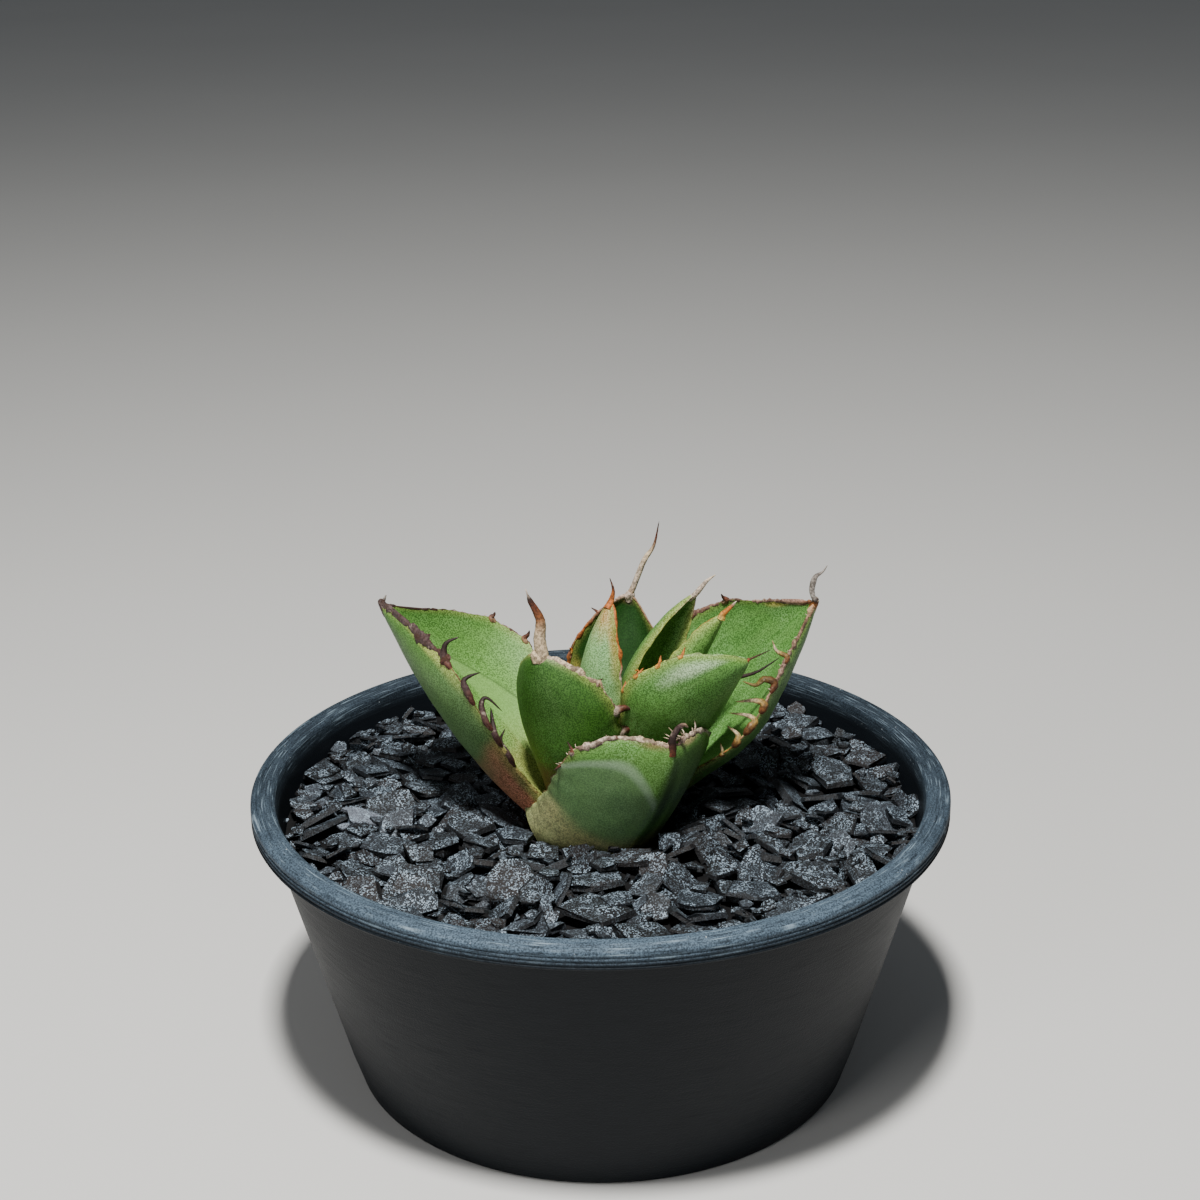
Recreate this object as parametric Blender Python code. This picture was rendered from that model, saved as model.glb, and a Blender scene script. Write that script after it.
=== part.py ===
"""Young agave in a shallow round nursery pot, top-dressed with slate chips.

The origin is the centre of the pot's foot on the surface it stands on, +Z is up and the
front of the plant looks along -Y.  Lengths are metres; the leaves are described in
millimetres from the middle of the pot's mouth and brought to size by PLANT.
"""
import math
import random

import bpy
import bmesh
from mathutils import Matrix, Vector

# ---- driving sizes -----------------------------------------------------------------------
MM = 0.001
GAP = 0.0003               # air kept between neighbouring pieces

POT_WIDTH = 0.105          # across the outside of the lip
POT_HEIGHT = 0.046
FOOT_WIDTH = 0.077
POT_WALL = 0.0013
LIP_WIDTH = 0.0037         # how far the lip reaches from inner edge to outer edge
LIP_DROP = 0.0032          # height of the lip's outer skirt
FLOOR_LIFT = 0.0012        # the floor's underside stands this far above the foot ring
FLOOR_THICKNESS = 0.0013
FOOT_RING = 0.0025
DRAIN_HOLE = 0.007
DRAIN_CIRCLE = 0.048
DRAIN_COUNT = 6

GRAVEL_DROP = 0.0064       # from the top of the lip down to the packed chips at the wall
GRAVEL_CROWN = 0.0009      # the packed chips stand this much higher in the middle
GRAVEL_DEPTH = 0.0075
CHIP_COUNT = 24
CHIP_LENGTH = (0.0068, 0.0104)

PLANT = 1.0                # size of the plant against the leaf lengths below
CROWN_ROOM = 0.0040 * PLANT    # the hollow takes in leaves up to this far above the chips
CHIP_FIELD = 0.0205 * PLANT    # loose chips start this far from the middle
STEM_WIDTH = 0.0086 * PLANT
ROOT_COUNT = 5
ROOT_LENGTH = 0.017

ROUND_STEPS = 72
LEAF_ROWS = 13
LEAF_COLUMNS = 7
LAST_SHARE = 0.985         # the outline keeps its width past this share, so the tip stays solid
LEAST_HALF = 0.05          # half width that every place of a leaf keeps, in millimetres
EDGE_SHARE = 0.12          # thickness left at the margin, as a share of the keel's
SPINE_ROOT = 0.93          # share of the leaf's length where its spine starts inside it
HORN_SIDES = 5

INNER_MOUTH = POT_WIDTH / 2 - LIP_WIDTH
GRAVEL_TOP = POT_HEIGHT - GRAVEL_DROP
SOIL_TOP = GRAVEL_TOP - GRAVEL_DEPTH
FLOOR_TOP = FLOOR_LIFT + FLOOR_THICKNESS


# ---- the leaves --------------------------------------------------------------------------
# base, middle and tip lie on the upper face's midline.  width is across the widest place,
# cup is half the angle of the trough, thick is the depth of the keel at the base.
# shoulder is the width at the base and broadest the place of full width, both as shares;
# point says how fast the outline closes.  face is the way the upper side looks, where it is
# not the middle of the rosette.  spine holds offsets from the tip, and each tooth is
# (side, share of the length, outwards, towards the tip, up from the face).
LEAVES = {
    "leaf_bud": dict(
        base=(6, 1, 6), middle=(12.6, -0.7, 18), tip=(18.2, -2, 26.9), width=5.5, cup=85,
        thick=2.2, roll=2, twist=0, shoulder=0.8, broadest=0.3, point=0.75,
        face=(-0.3, 0.8, 0.5), spine=[(1.2, 0, 1.2), (1.9, 0, 2.2)], teeth=[]),
    "leaf_inner_left": dict(
        base=(1.7, 0, 4.5), middle=(-0.5, -3.5, 16), tip=(1.8, -1, 28.8), width=8.5, cup=50,
        thick=2.8, roll=0, twist=0, shoulder=0.7, broadest=0.4, point=0.8,
        face=(0.7, 0.7, 0.3), spine=[(0.3, 0, 1.6), (-0.2, 0, 3.5)],
        teeth=[(-1, 0.45, 0.9, 0.3, 0.3)]),
    "leaf_back_right": dict(
        base=(4.5, 3, 5), middle=(7.3, 4, 16.5), tip=(14.3, 1.6, 28.7), width=8, cup=74,
        thick=2.8, roll=-2.5, twist=3.5, shoulder=0.7, broadest=0.43, point=0.8,
        face=(0.5, -0.8, 0), spine=[(1.5, 0, 1.8), (2.9, 0, 3)],
        teeth=[(1, 0.7, 0.8, -0.3, 0.3), (-1, 0.5, 0.8, 0.2, 0.3)]),
    "leaf_back": dict(
        base=(1.5, 5, 4), middle=(2.5, 10, 13), tip=(4.8, 12.7, 24.6), width=16, cup=51,
        thick=3.5, roll=1.5, twist=1, shoulder=0.6, broadest=0.48, point=0.8,
        face=(-0.1, -1, 0.4), spine=[(0.5, 0.1, 1.2), (2.4, 0.3, 5.6), (4.4, 0.5, 11.8)],
        teeth=[(-1, 0.6, 1.0, 0.5, 0.3), (1, 0.5, 1.0, 0.3, 0.3), (1, 0.75, 0.9, 0.4, 0.3)]),
    "leaf_front_right": dict(
        base=(7.5, -2, 3.5), middle=(12, -8.5, 14.4), tip=(21.3, -10.8, 23.2), width=18.7,
        cup=46, thick=4, roll=-31, twist=7, shoulder=0.55, broadest=0.53, point=0.8,
        face=None, spine=[(1.4, 0, 0.9), (3.2, 0, 1.5)],
        teeth=[(1, 0.3, 0.9, 0.2, 0.4), (1, 0.42, 1.0, 0.2, 0.4), (1, 0.55, 1.0, 0.3, 0.4),
               (1, 0.7, 0.9, 0.3, 0.4), (-1, 0.8, 1.6, 2.2, 1.4), (-1, 0.55, 1.0, 0.4, 0.4)]),
    "leaf_front_left": dict(
        base=(-3, -3, -2.5), middle=(-6, -7.5, 11.5), tip=(-9, -10, 23.8), width=18.6, cup=49,
        thick=4, roll=6, twist=0, shoulder=0.59, broadest=0.55, point=0.66,
        face=None, spine=[(0.5, 0, 2.4), (0.5, 0, 5.5), (-0.8, 0, 8.5), (-1.4, 0, 10.3)],
        teeth=[(-1, 0.43, 2.4, -0.3, 0.4), (-1, 0.57, 2.6, -0.3, 0.2),
               (-1, 0.78, 0.9, 0.3, 0.4), (1, 0.6, 1.0, 0.3, 0.4), (1, 0.4, 1.0, 0.2, 0.3)]),
    "leaf_right": dict(
        base=(5.5, 1.5, -3), middle=(20, 5, 10), tip=(32, 1.5, 27.5), width=29.5, cup=57,
        thick=4, roll=17, twist=-6, shoulder=0.46, broadest=0.55, point=1.27,
        face=None, spine=[(-0.6, 0, 1.7), (-0.2, 0, 3.7), (1.6, 0, 5.6)],
        teeth=[(1, 0.84, 1.3, 1.1, 2.2), (1, 0.77, 2.5, -2, 3.6), (1, 0.69, 1.9, -2, 3.3),
               (1, 0.57, 0.8, 0, 3), (1, 0.49, 0.5, 0.8, 2.1), (1, 0.4, 0.4, 0.8, 0.9),
               (-1, 0.45, 1.3, 0.4, 0.8), (-1, 0.6, 1.4, 0.5, 0.8), (-1, 0.74, 1.2, 0.6, 0.7)]),
    "leaf_left": dict(
        base=(-5, -2.5, -4.5), middle=(-19, 1, 10), tip=(-32.5, 5, 26.5), width=34, cup=64,
        thick=4, roll=-6, twist=28, shoulder=0.42, broadest=0.6, point=1.24,
        face=None, spine=[(0.4, 0, 0.6), (1.0, 0, 1.8)],
        teeth=[(-1, 0.74, 3.3, 1.1, 2), (-1, 0.56, 2.6, 2.6, 2.4), (-1, 0.49, 1.3, 2.3, 1.4),
               (-1, 0.43, 1.2, 3.4, 1.6), (-1, 0.34, 1.2, 3.4, 1.8), (1, 0.4, 1.2, 0.5, 0.8),
               (1, 0.56, 1.4, 0.6, 0.8), (1, 0.7, 1.3, 0.7, 0.8)]),
    "leaf_front": dict(
        base=(-1.2, -5, -8), middle=(5, -12.3, 0.6), tip=(10.2, -17.3, 12.8), width=27.5,
        cup=58, thick=5, roll=-3.5, twist=1.5, shoulder=0.9, broadest=0.66, point=0.3,
        face=None, spine=[(0.1, 0, 1.2), (0.7, 0.4, 2.6), (1.7, 0, 3.2)],
        teeth=[(1, 0.62, 1.0, 0.2, 0.4), (1, 0.8, 1.0, 0.5, 0.5), (-1, 0.66, 1.0, 0.3, 0.5)]),
    "leaf_low_back": dict(
        base=(3.5, 6, -4.5), middle=(9, 15, 2), tip=(13, 24.5, 9.5), width=22, cup=55,
        thick=4, roll=0, twist=0, shoulder=0.6, broadest=0.6, point=0.8,
        face=None, spine=[(0.5, 1, 1.6), (0.8, 1.2, 4)],
        teeth=[(1, 0.45, 1.4, 0.3, 0.8), (1, 0.65, 1.5, 0.4, 0.9), (-1, 0.5, 1.4, 0.3, 0.8),
               (-1, 0.7, 1.4, 0.4, 0.8)]),
    "leaf_low_back_left": dict(
        base=(-3, 5, -3), middle=(-9, 13, 4), tip=(-13.5, 22, 10.5), width=19, cup=55,
        thick=4, roll=0, twist=0, shoulder=0.6, broadest=0.6, point=0.8,
        face=None, spine=[(-0.4, 1, 1.5), (-0.6, 1.3, 3.6)],
        teeth=[(1, 0.5, 1.3, 0.3, 0.8), (1, 0.7, 1.3, 0.4, 0.8), (-1, 0.45, 1.3, 0.3, 0.8),
               (-1, 0.68, 1.3, 0.4, 0.8)]),
}
LEAF_GREEN = (0.16, 0.30, 0.09)
YOUNG_GREEN = (0.24, 0.40, 0.11)
YOUNG_LEAVES = ("leaf_bud", "leaf_inner_left", "leaf_back_right", "leaf_back")

# The stem's own line, in the leaves' frame, with its radius at each point as a share.
STEM_LINE = [((0.5, 0, -22), 0.45), ((0.6, 0, -15), 0.95), ((1.0, 0, -8), 1.0),
             ((2.4, 0.6, -1), 0.9), ((4.4, 1.2, 5), 0.55), ((5.2, 1.3, 7.5), 0.25)]


# ---- helpers -----------------------------------------------------------------------------
def finish(color, roughness, name):
    """A plain material of one colour."""
    material = bpy.data.materials.new(name)
    material.use_nodes = True
    shader = material.node_tree.nodes["Principled BSDF"]
    shader.inputs["Base Color"].default_value = (*color, 1.0)
    shader.inputs["Roughness"].default_value = roughness
    shader.inputs["Metallic"].default_value = 0.0
    return material


def make_object(bm, name, material, smooth_angle=35):
    """Turn a bmesh into a named object with outward faces."""
    bmesh.ops.recalc_face_normals(bm, faces=bm.faces[:])
    mesh = bpy.data.meshes.new(name)
    bm.to_mesh(mesh)
    bm.free()
    mesh.materials.append(material)
    mesh.shade_smooth()
    mesh.set_sharp_from_angle(angle=math.radians(smooth_angle))
    piece = bpy.data.objects.new(name, mesh)
    bpy.context.collection.objects.link(piece)
    return piece


def as_cutter(piece):
    """Mark a piece as a tool that is not part of the model."""
    piece.hide_render = True
    piece.display_type = "WIRE"
    return piece


def combine(piece, tool, operation):
    """Cut a piece with a tool, or join the tool to it."""
    change = piece.modifiers.new(tool.name, "BOOLEAN")
    change.operation = operation
    change.object = as_cutter(tool)


def settle(piece):
    """Bake a piece's modifiers and keep its largest body."""
    graph = bpy.context.evaluated_depsgraph_get()
    mesh = bpy.data.meshes.new_from_object(piece.evaluated_get(graph))
    piece.modifiers.clear()
    piece.data = mesh
    bm = bmesh.new()
    bm.from_mesh(mesh)
    bmesh.ops.remove_doubles(bm, verts=bm.verts[:], dist=0.0005 * MM)
    bodies = find_bodies(bm)
    largest = max(bodies, key=len)
    scraps = [face for face in bm.faces if face not in largest]
    bmesh.ops.delete(bm, geom=scraps, context="FACES")
    bmesh.ops.triangulate(bm, faces=bm.faces[:])
    bmesh.ops.dissolve_degenerate(bm, edges=bm.edges[:], dist=0.0005 * MM)
    bm.to_mesh(mesh)
    bm.free()


def find_bodies(bm):
    """Groups of faces that hang together."""
    waiting = set(bm.faces)
    bodies = []
    while waiting:
        front = [waiting.pop()]
        body = set(front)
        while front:
            face = front.pop()
            for edge in face.edges:
                for other in edge.link_faces:
                    if other in waiting:
                        waiting.discard(other)
                        body.add(other)
                        front.append(other)
        bodies.append(body)
    return bodies


def turned(profile, steps=ROUND_STEPS):
    """Spin a closed outline of (radius, height) points round the pot's axis."""
    bm = bmesh.new()
    corners = [bm.verts.new((radius, 0, height)) for radius, height in profile]
    rim = list(zip(corners, corners[1:] + corners[:1]))
    sides = [bm.edges.new(pair) for pair in rim if pair[0].co.x + pair[1].co.x > 0]
    bmesh.ops.spin(bm, geom=corners + sides, cent=(0, 0, 0), axis=(0, 0, 1),
                   angle=math.tau, steps=steps, use_merge=True)
    bmesh.ops.remove_doubles(bm, verts=bm.verts[:], dist=0.001 * MM)
    return bm


def horn(name, material, line, radii, sides=HORN_SIDES):
    """A tapering closed spike that follows a line of points."""
    bm = bmesh.new()
    points = [Vector(point) for point in line]
    heading = (points[1] - points[0]).normalized()
    turn = heading.to_track_quat("Z", "Y")
    ring = None
    for index, point in enumerate(points):
        ahead = points[min(index + 1, len(points) - 1)]
        behind = points[max(index - 1, 0)]
        turn = heading.rotation_difference(ahead - behind) @ turn
        heading = (ahead - behind).normalized()
        size = Matrix.Diagonal((radii[index], radii[index], 1, 1))
        place = Matrix.Translation(point) @ turn.to_matrix().to_4x4() @ size
        if ring is None:
            made = bmesh.ops.create_circle(bm, cap_ends=True, radius=1, segments=sides)
            ring = made["verts"]
            cap = ring[0].link_faces[0]
            bmesh.ops.transform(bm, matrix=place, verts=ring)
        else:
            grown = bmesh.ops.extrude_face_region(bm, geom=[cap])
            if index > 1:
                bmesh.ops.delete(bm, geom=[cap], context="FACES_ONLY")
            ring = [item for item in grown["geom"] if isinstance(item, bmesh.types.BMVert)]
            cap = [item for item in grown["geom"] if isinstance(item, bmesh.types.BMFace)][0]
            bmesh.ops.transform(bm, matrix=place @ last_place.inverted(), verts=ring)
        last_place = place
    return make_object(bm, name, material)


def smooth_line(points, count):
    """Evenly spread points on a smooth curve through the given ones."""
    knots = [Vector(point) for point in points]
    knots = [2 * knots[0] - knots[1]] + knots + [2 * knots[-1] - knots[-2]]
    spans = len(points) - 1
    result = []
    for step in range(count):
        place = step / (count - 1) * spans
        span = min(int(place), spans - 1)
        u = place - span
        a, b, c, d = knots[span:span + 4]
        result.append(0.5 * (2 * b + (c - a) * u + (2 * a - 5 * b + 4 * c - d) * u * u
                             + (3 * b - a - 3 * c + d) * u ** 3))
    return result


def in_pot(point):
    """From the leaves' frame, in millimetres from the pot's mouth, to the pot's own frame."""
    return Vector(point) * PLANT * MM + Vector((0, 0, POT_HEIGHT))


# ---- the pot and what fills it -----------------------------------------------------------
def wall_radius(height):
    """Outside radius of the tapered wall at a height."""
    under_lip = POT_HEIGHT - LIP_DROP
    top = INNER_MOUTH + POT_WALL
    return FOOT_WIDTH / 2 + (top - FOOT_WIDTH / 2) * min(height / under_lip, 1)


def room_radius(height):
    """Inside radius of the pot at a height."""
    return wall_radius(height) - POT_WALL


def build_pot():
    outer = POT_WIDTH / 2
    soft = LIP_WIDTH * 0.22
    under = POT_HEIGHT - LIP_DROP
    profile = [
        (0, FLOOR_LIFT), (FOOT_WIDTH / 2 - FOOT_RING, FLOOR_LIFT),
        (FOOT_WIDTH / 2 - FOOT_RING, 0), (FOOT_WIDTH / 2, 0),
        (wall_radius(under), under), (outer - soft * 0.5, under), (outer, under + soft * 0.6),
        (outer, POT_HEIGHT - soft), (outer - soft * 0.35, POT_HEIGHT - soft * 0.3),
        (outer - soft, POT_HEIGHT), (INNER_MOUTH + soft, POT_HEIGHT),
        (INNER_MOUTH + soft * 0.3, POT_HEIGHT - soft * 0.3), (INNER_MOUTH, POT_HEIGHT - soft),
        (room_radius(under), under), (room_radius(FLOOR_TOP), FLOOR_TOP), (0, FLOOR_TOP)]
    black = finish((0.02, 0.023, 0.027), 0.5, "black_plastic")
    pot = make_object(turned(profile), "pot", black)
    drill = bmesh.new()
    for index in range(DRAIN_COUNT):
        turn = Matrix.Rotation(math.tau * index / DRAIN_COUNT, 4, "Z")
        place = turn @ Matrix.Translation((DRAIN_CIRCLE / 2, 0, FLOOR_TOP / 2))
        bmesh.ops.create_cone(drill, cap_ends=True, segments=24, radius1=DRAIN_HOLE / 2,
                              radius2=DRAIN_HOLE / 2, depth=FLOOR_TOP * 3, matrix=place)
    combine(pot, make_object(drill, "drain_drill", black), "DIFFERENCE")


def stem_solid(name, grow, material):
    """The short stem with its thick roots, joined to one body."""
    line = [in_pot(point) for point, share in STEM_LINE]
    radii = [STEM_WIDTH / 2 * share + grow for point, share in STEM_LINE]
    away = (line[0] - line[1]).normalized() * grow
    along = (line[-1] - line[-2]).normalized() * grow
    line[0] = line[0] + away
    line[-1] = line[-1] + along
    stem = horn(name, material, line, radii, sides=14)
    room = min(SOIL_TOP - FLOOR_TOP, ROOT_LENGTH)
    for index in range(ROOT_COUNT):
        turn = Matrix.Rotation(math.tau * (index + 0.35) / ROOT_COUNT, 3, "Z")
        top = in_pot((0.6, 0, -14.5 - 0.9 * index))
        reach = [(0, 0, 0), (0.3, 0, -0.10), (0.75, 0, -0.28), (1.0, 0, -0.55)]
        bends = [top + turn @ Vector(point) * room for point in reach]
        path = smooth_line(bends, 6)
        path[-1] = path[-1] + (path[-1] - path[-2]).normalized() * grow
        thin = STEM_WIDTH * 0.15
        radii = [thin * (1 - 0.13 * step) + grow for step in range(6)]
        combine(stem, horn(f"{name}_root_{index}", material, path, radii, sides=7), "UNION")
    return stem


def gravel_height(radius):
    """Top of the packed chips, slightly crowned."""
    share = radius / room_radius(GRAVEL_TOP)
    return GRAVEL_TOP + GRAVEL_CROWN * (1 - share * share)


def fill_profile(low, high_at, rings):
    """Outline of a layer that fills the pot from a height up to a top surface."""
    outline = [(0, low), (room_radius(low) - GAP, low)]
    edge = room_radius(high_at(room_radius(low))) - GAP
    for ring in range(rings, -1, -1):
        radius = edge * ring / rings
        outline.append((radius, high_at(radius)))
    return outline


def build_crown_room():
    """Tool for the hollow that the crown of leaves sits in: their lower ends, wrapped."""
    hollow = bmesh.new()
    for piece in bpy.data.objects:
        if piece.name not in (*LEAVES, "stem_and_roots"):
            continue
        for corner in piece.data.vertices:
            if SOIL_TOP - CROWN_ROOM < corner.co.z < GRAVEL_TOP + CROWN_ROOM:
                lowest = min(corner.co.z, SOIL_TOP)
                for height in (lowest, GRAVEL_TOP + 2 * CROWN_ROOM):
                    hollow.verts.new((*corner.co.xy, height))
    hull = bmesh.ops.convex_hull(hollow, input=hollow.verts[:])
    spare = list({item for item in hull["geom_interior"] + hull["geom_unused"]
                  if isinstance(item, bmesh.types.BMVert)})
    bmesh.ops.delete(hollow, geom=spare, context="VERTS")
    middle = sum((corner.co for corner in hollow.verts), Vector()) / len(hollow.verts)
    for corner in hollow.verts:
        corner.co += (corner.co - middle).normalized() * 2 * GAP
    return make_object(hollow, "crown_room", finish((1, 1, 1), 1, "tool"))


def build_soil(stem_room, crown_room):
    brown = finish((0.035, 0.022, 0.014), 0.95, "soil")
    profile = fill_profile(FLOOR_TOP + GAP, lambda radius: SOIL_TOP, 1)
    soil = make_object(turned(profile, 48), "potting_soil", brown)
    combine(soil, stem_room, "DIFFERENCE")
    combine(soil, crown_room, "DIFFERENCE")
    settle(soil)


def build_gravel(crown_room):
    """The packed chips round the crown."""
    slate = finish((0.03, 0.033, 0.04), 0.7, "slate")
    profile = fill_profile(SOIL_TOP + GAP, gravel_height, 6)
    bed = make_object(turned(profile, 48), "gravel_bed", slate)
    combine(bed, crown_room, "DIFFERENCE")
    settle(bed)


def build_chips():
    """Loose slate chips lying on the packed ones, each a flat angular splinter."""
    slate = finish((0.045, 0.05, 0.06), 0.6, "slate_chip")
    dice = random.Random(41)
    limit = room_radius(GRAVEL_TOP) - GAP
    placed = []
    while len(placed) < CHIP_COUNT:
        half = dice.uniform(*CHIP_LENGTH) / 2
        reach = dice.uniform(0, 1) ** 0.5
        radius = CHIP_FIELD + half + (limit - CHIP_FIELD - 2 * half) * reach
        angle = dice.uniform(0, math.tau)
        spot = Vector((math.cos(angle), math.sin(angle), 0)) * radius
        if all((spot - other).length > half + size + GAP for other, size in placed):
            placed.append((spot, half))
    for number, (spot, half) in enumerate(placed, 1):
        bm = bmesh.new()
        bmesh.ops.create_icosphere(bm, subdivisions=1, radius=1)
        for corner in bm.verts:
            corner.co *= dice.uniform(0.72, 0.98)
        bmesh.ops.scale(bm, vec=(half, half * 0.66, half * 0.24), verts=bm.verts[:])
        tilt = Matrix.Rotation(math.radians(dice.uniform(-9, 9)), 3, "X")
        heading = Matrix.Rotation(dice.uniform(0, math.tau), 3, "Z")
        bmesh.ops.rotate(bm, matrix=heading @ tilt, verts=bm.verts[:])
        bmesh.ops.translate(bm, vec=spot, verts=bm.verts[:])
        lift = max(gravel_height(corner.co.xy.length) - corner.co.z for corner in bm.verts)
        bmesh.ops.translate(bm, vec=(0, 0, lift + GAP), verts=bm.verts[:])
        make_object(bm, f"chip_{number:02d}", slate, smooth_angle=5)


# ---- the plant ---------------------------------------------------------------------------
def outline_share(leaf, t):
    """Width along the leaf as a share of its greatest width."""
    if t < leaf["broadest"]:
        swell = 0.5 - 0.5 * math.cos(math.pi * t / leaf["broadest"])
        return leaf["shoulder"] + (1 - leaf["shoulder"]) * swell
    past = (t - leaf["broadest"]) / (1 - leaf["broadest"])
    return max(1 - past * past, 0) ** leaf["point"]


def leaf_frame(leaf, t):
    """Point on the midline, the way along, the way across and the way up at a share t."""
    base = Vector(leaf["base"])
    tip = Vector(leaf["tip"])
    pull = 2 * Vector(leaf["middle"]) - (base + tip) / 2
    spot = base * (1 - t) ** 2 + pull * 2 * t * (1 - t) + tip * t * t
    along = ((pull - base) * (1 - t) + (tip - pull) * t).normalized()
    middle = leaf["middle"]
    look = Vector(leaf["face"] or (-middle[0], -middle[1], 20))
    up = (look - along * along.dot(look)).normalized()
    turn = math.radians(leaf["roll"] + leaf["twist"] * (t - 0.5))
    up = Matrix.Rotation(turn, 3, along) @ up
    return spot, along, along.cross(up), up


def leaf_point(leaf, t, s, below, grow):
    """A point of the leaf: t runs from base to tip, s from margin to margin."""
    spot, along, across, up = leaf_frame(leaf, t)
    half = leaf["width"] / 2 * outline_share(leaf, min(t, LAST_SHARE)) + LEAST_HALF
    trough = math.radians(leaf["cup"]) * (1 - 0.15 * t)
    arc = half / trough
    angle = trough * s * min((half + grow) / half, 1.25)
    keel = leaf["thick"] * (1 - 0.55 * t) * math.sqrt(max(1 - t ** 6, 0.02))
    share = EDGE_SHARE + (1 - EDGE_SHARE) * (1 - abs(s) ** 2.2)
    depth = min(keel * share, half * 0.9 + 0.1)
    outward = up * math.cos(angle) - across * math.sin(angle)
    upper = spot + across * arc * math.sin(angle) + up * arc * (1 - math.cos(angle))
    if below:
        return upper - outward * (depth + grow)
    return upper + outward * min(grow, arc * 0.5)


def leaf_blade(leaf, grow):
    """Closed blade: an upper and a lower sheet bridged along their edges."""
    bm = bmesh.new()
    length = (Vector(leaf["tip"]) - Vector(leaf["base"])).length
    for below in (False, True):
        made = bmesh.ops.create_grid(bm, x_segments=LEAF_ROWS, y_segments=LEAF_COLUMNS,
                                     size=1.0)
        for corner in made["verts"]:
            t = (corner.co.x + 1) / 2
            stretched = t + (2 * t - 1) * grow / length
            place = leaf_point(leaf, min(stretched, 1.0), corner.co.y, below, grow)
            corner.co = in_pot(place)
    rims = [edge for edge in bm.edges if edge.is_boundary]
    bmesh.ops.bridge_loops(bm, edges=rims)
    return bm


def tooth_line(leaf, tooth):
    """Curved line of a marginal tooth, starting inside the margin."""
    side, t, outwards, forward, upwards = tooth
    along, _, up = leaf_frame(leaf, t)[1:]
    edge = leaf_point(leaf, t, side, False, 0)
    inner = leaf_point(leaf, t, side * 0.9, False, 0)
    out = (edge - inner).normalized()
    up = (up - out * up.dot(out)).normalized()
    sunk = leaf_point(leaf, t, side * 0.97, True, 0) * 0.5 + edge * 0.5 - out * 0.35
    end = edge + out * outwards + along * forward + up * upwards
    reach = (end - edge).length
    bend = edge + out * reach * 0.5
    return [sunk, edge.lerp(bend, 0.6), bend.lerp(end, 0.45), end], reach


def grow_horns(blade, leaf, material):
    """Join the terminal spine and the marginal teeth to the blade, one after another."""
    tip = Vector(leaf["tip"])
    spot = leaf_frame(leaf, SPINE_ROOT)[0]
    root = spot.lerp(leaf_point(leaf, SPINE_ROOT, 0, True, 0), 0.45)
    path = smooth_line([root, tip] + [tip + Vector(step) for step in leaf["spine"]], 7)
    thick = 0.6 + 0.02 * leaf["width"]
    radii = [thick * MM * PLANT * (1 - (step / 6.4) ** 1.2) for step in range(7)]
    spine = horn(blade.name + "_spine", material, [in_pot(point) for point in path], radii, 6)
    combine(blade, spine, "UNION")
    for number, tooth in enumerate(leaf["teeth"]):
        line, reach = tooth_line(leaf, tooth)
        stout = (0.32 + 0.07 * reach) * MM * PLANT
        radii = [stout, stout * 0.85, stout * 0.5, stout * 0.12]
        line = [in_pot(point) for point in line]
        combine(blade, horn(f"{blade.name}_tooth_{number}", material, line, radii), "UNION")


def build_plant():
    """Stem first, then the leaves from the innermost out, each cut clear of the inner ones."""
    wood = finish((0.10, 0.075, 0.04), 0.8, "stem")
    stem = stem_solid("stem_and_roots", 0, wood)
    settle(stem)
    stem_room = stem_solid("stem_room", GAP, wood)
    settle(stem_room)
    as_cutter(stem_room)
    rooms = []
    for name, leaf in LEAVES.items():
        young = name in YOUNG_LEAVES
        skin = finish(YOUNG_GREEN if young else LEAF_GREEN, 0.6, name + "_skin")
        blade = make_object(leaf_blade(leaf, 0), name, skin)
        grow_horns(blade, leaf, skin)
        settle(blade)
        combine(blade, stem_room, "DIFFERENCE")
        for room in rooms:
            combine(blade, room, "DIFFERENCE")
        settle(blade)
        room = make_object(leaf_blade(leaf, GAP / MM * 1.15), name + "_room", skin)
        rooms.append(as_cutter(room))
    return stem_room


def main():
    for leftover in list(bpy.data.objects):
        bpy.data.objects.remove(leftover, do_unlink=True)
    build_pot()
    stem_room = build_plant()
    crown_room = build_crown_room()
    build_soil(stem_room, crown_room)
    build_gravel(crown_room)
    build_chips()


main()
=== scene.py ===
# %% [markdown]
# # A young agave in a shallow nursery pot
#
# The plant is a rosette of thick, spoon-shaped leaves.  Each leaf ends in a woody spine, and
# most carry hooked teeth on a corky margin.  It stands in a round black pot under a layer of
# slate splinters.
#
# The solid model gives the frame: where the pot stands, how high its rim is and how wide it
# is.  Everything below is built round those numbers.

# %% The fixed frame
import math
import random
from collections import namedtuple

import bmesh
import bpy
import numpy as np
from mathutils import Matrix, Vector, noise


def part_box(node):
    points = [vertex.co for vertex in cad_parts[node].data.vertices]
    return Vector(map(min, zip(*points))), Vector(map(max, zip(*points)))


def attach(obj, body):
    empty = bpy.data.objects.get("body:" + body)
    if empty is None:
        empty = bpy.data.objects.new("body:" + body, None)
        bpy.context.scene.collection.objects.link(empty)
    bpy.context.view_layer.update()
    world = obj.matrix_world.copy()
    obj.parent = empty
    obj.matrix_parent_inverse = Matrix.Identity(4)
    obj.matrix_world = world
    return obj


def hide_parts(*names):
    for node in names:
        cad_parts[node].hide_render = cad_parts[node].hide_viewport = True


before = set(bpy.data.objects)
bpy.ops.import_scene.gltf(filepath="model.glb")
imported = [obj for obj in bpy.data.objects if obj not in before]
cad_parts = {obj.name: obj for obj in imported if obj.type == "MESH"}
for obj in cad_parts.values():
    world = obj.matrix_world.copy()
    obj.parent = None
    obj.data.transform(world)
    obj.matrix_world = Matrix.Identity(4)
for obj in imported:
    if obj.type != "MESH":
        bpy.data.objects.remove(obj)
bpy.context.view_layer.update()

MM = 0.001
POT_LOW, POT_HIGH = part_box("pot")
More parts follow.
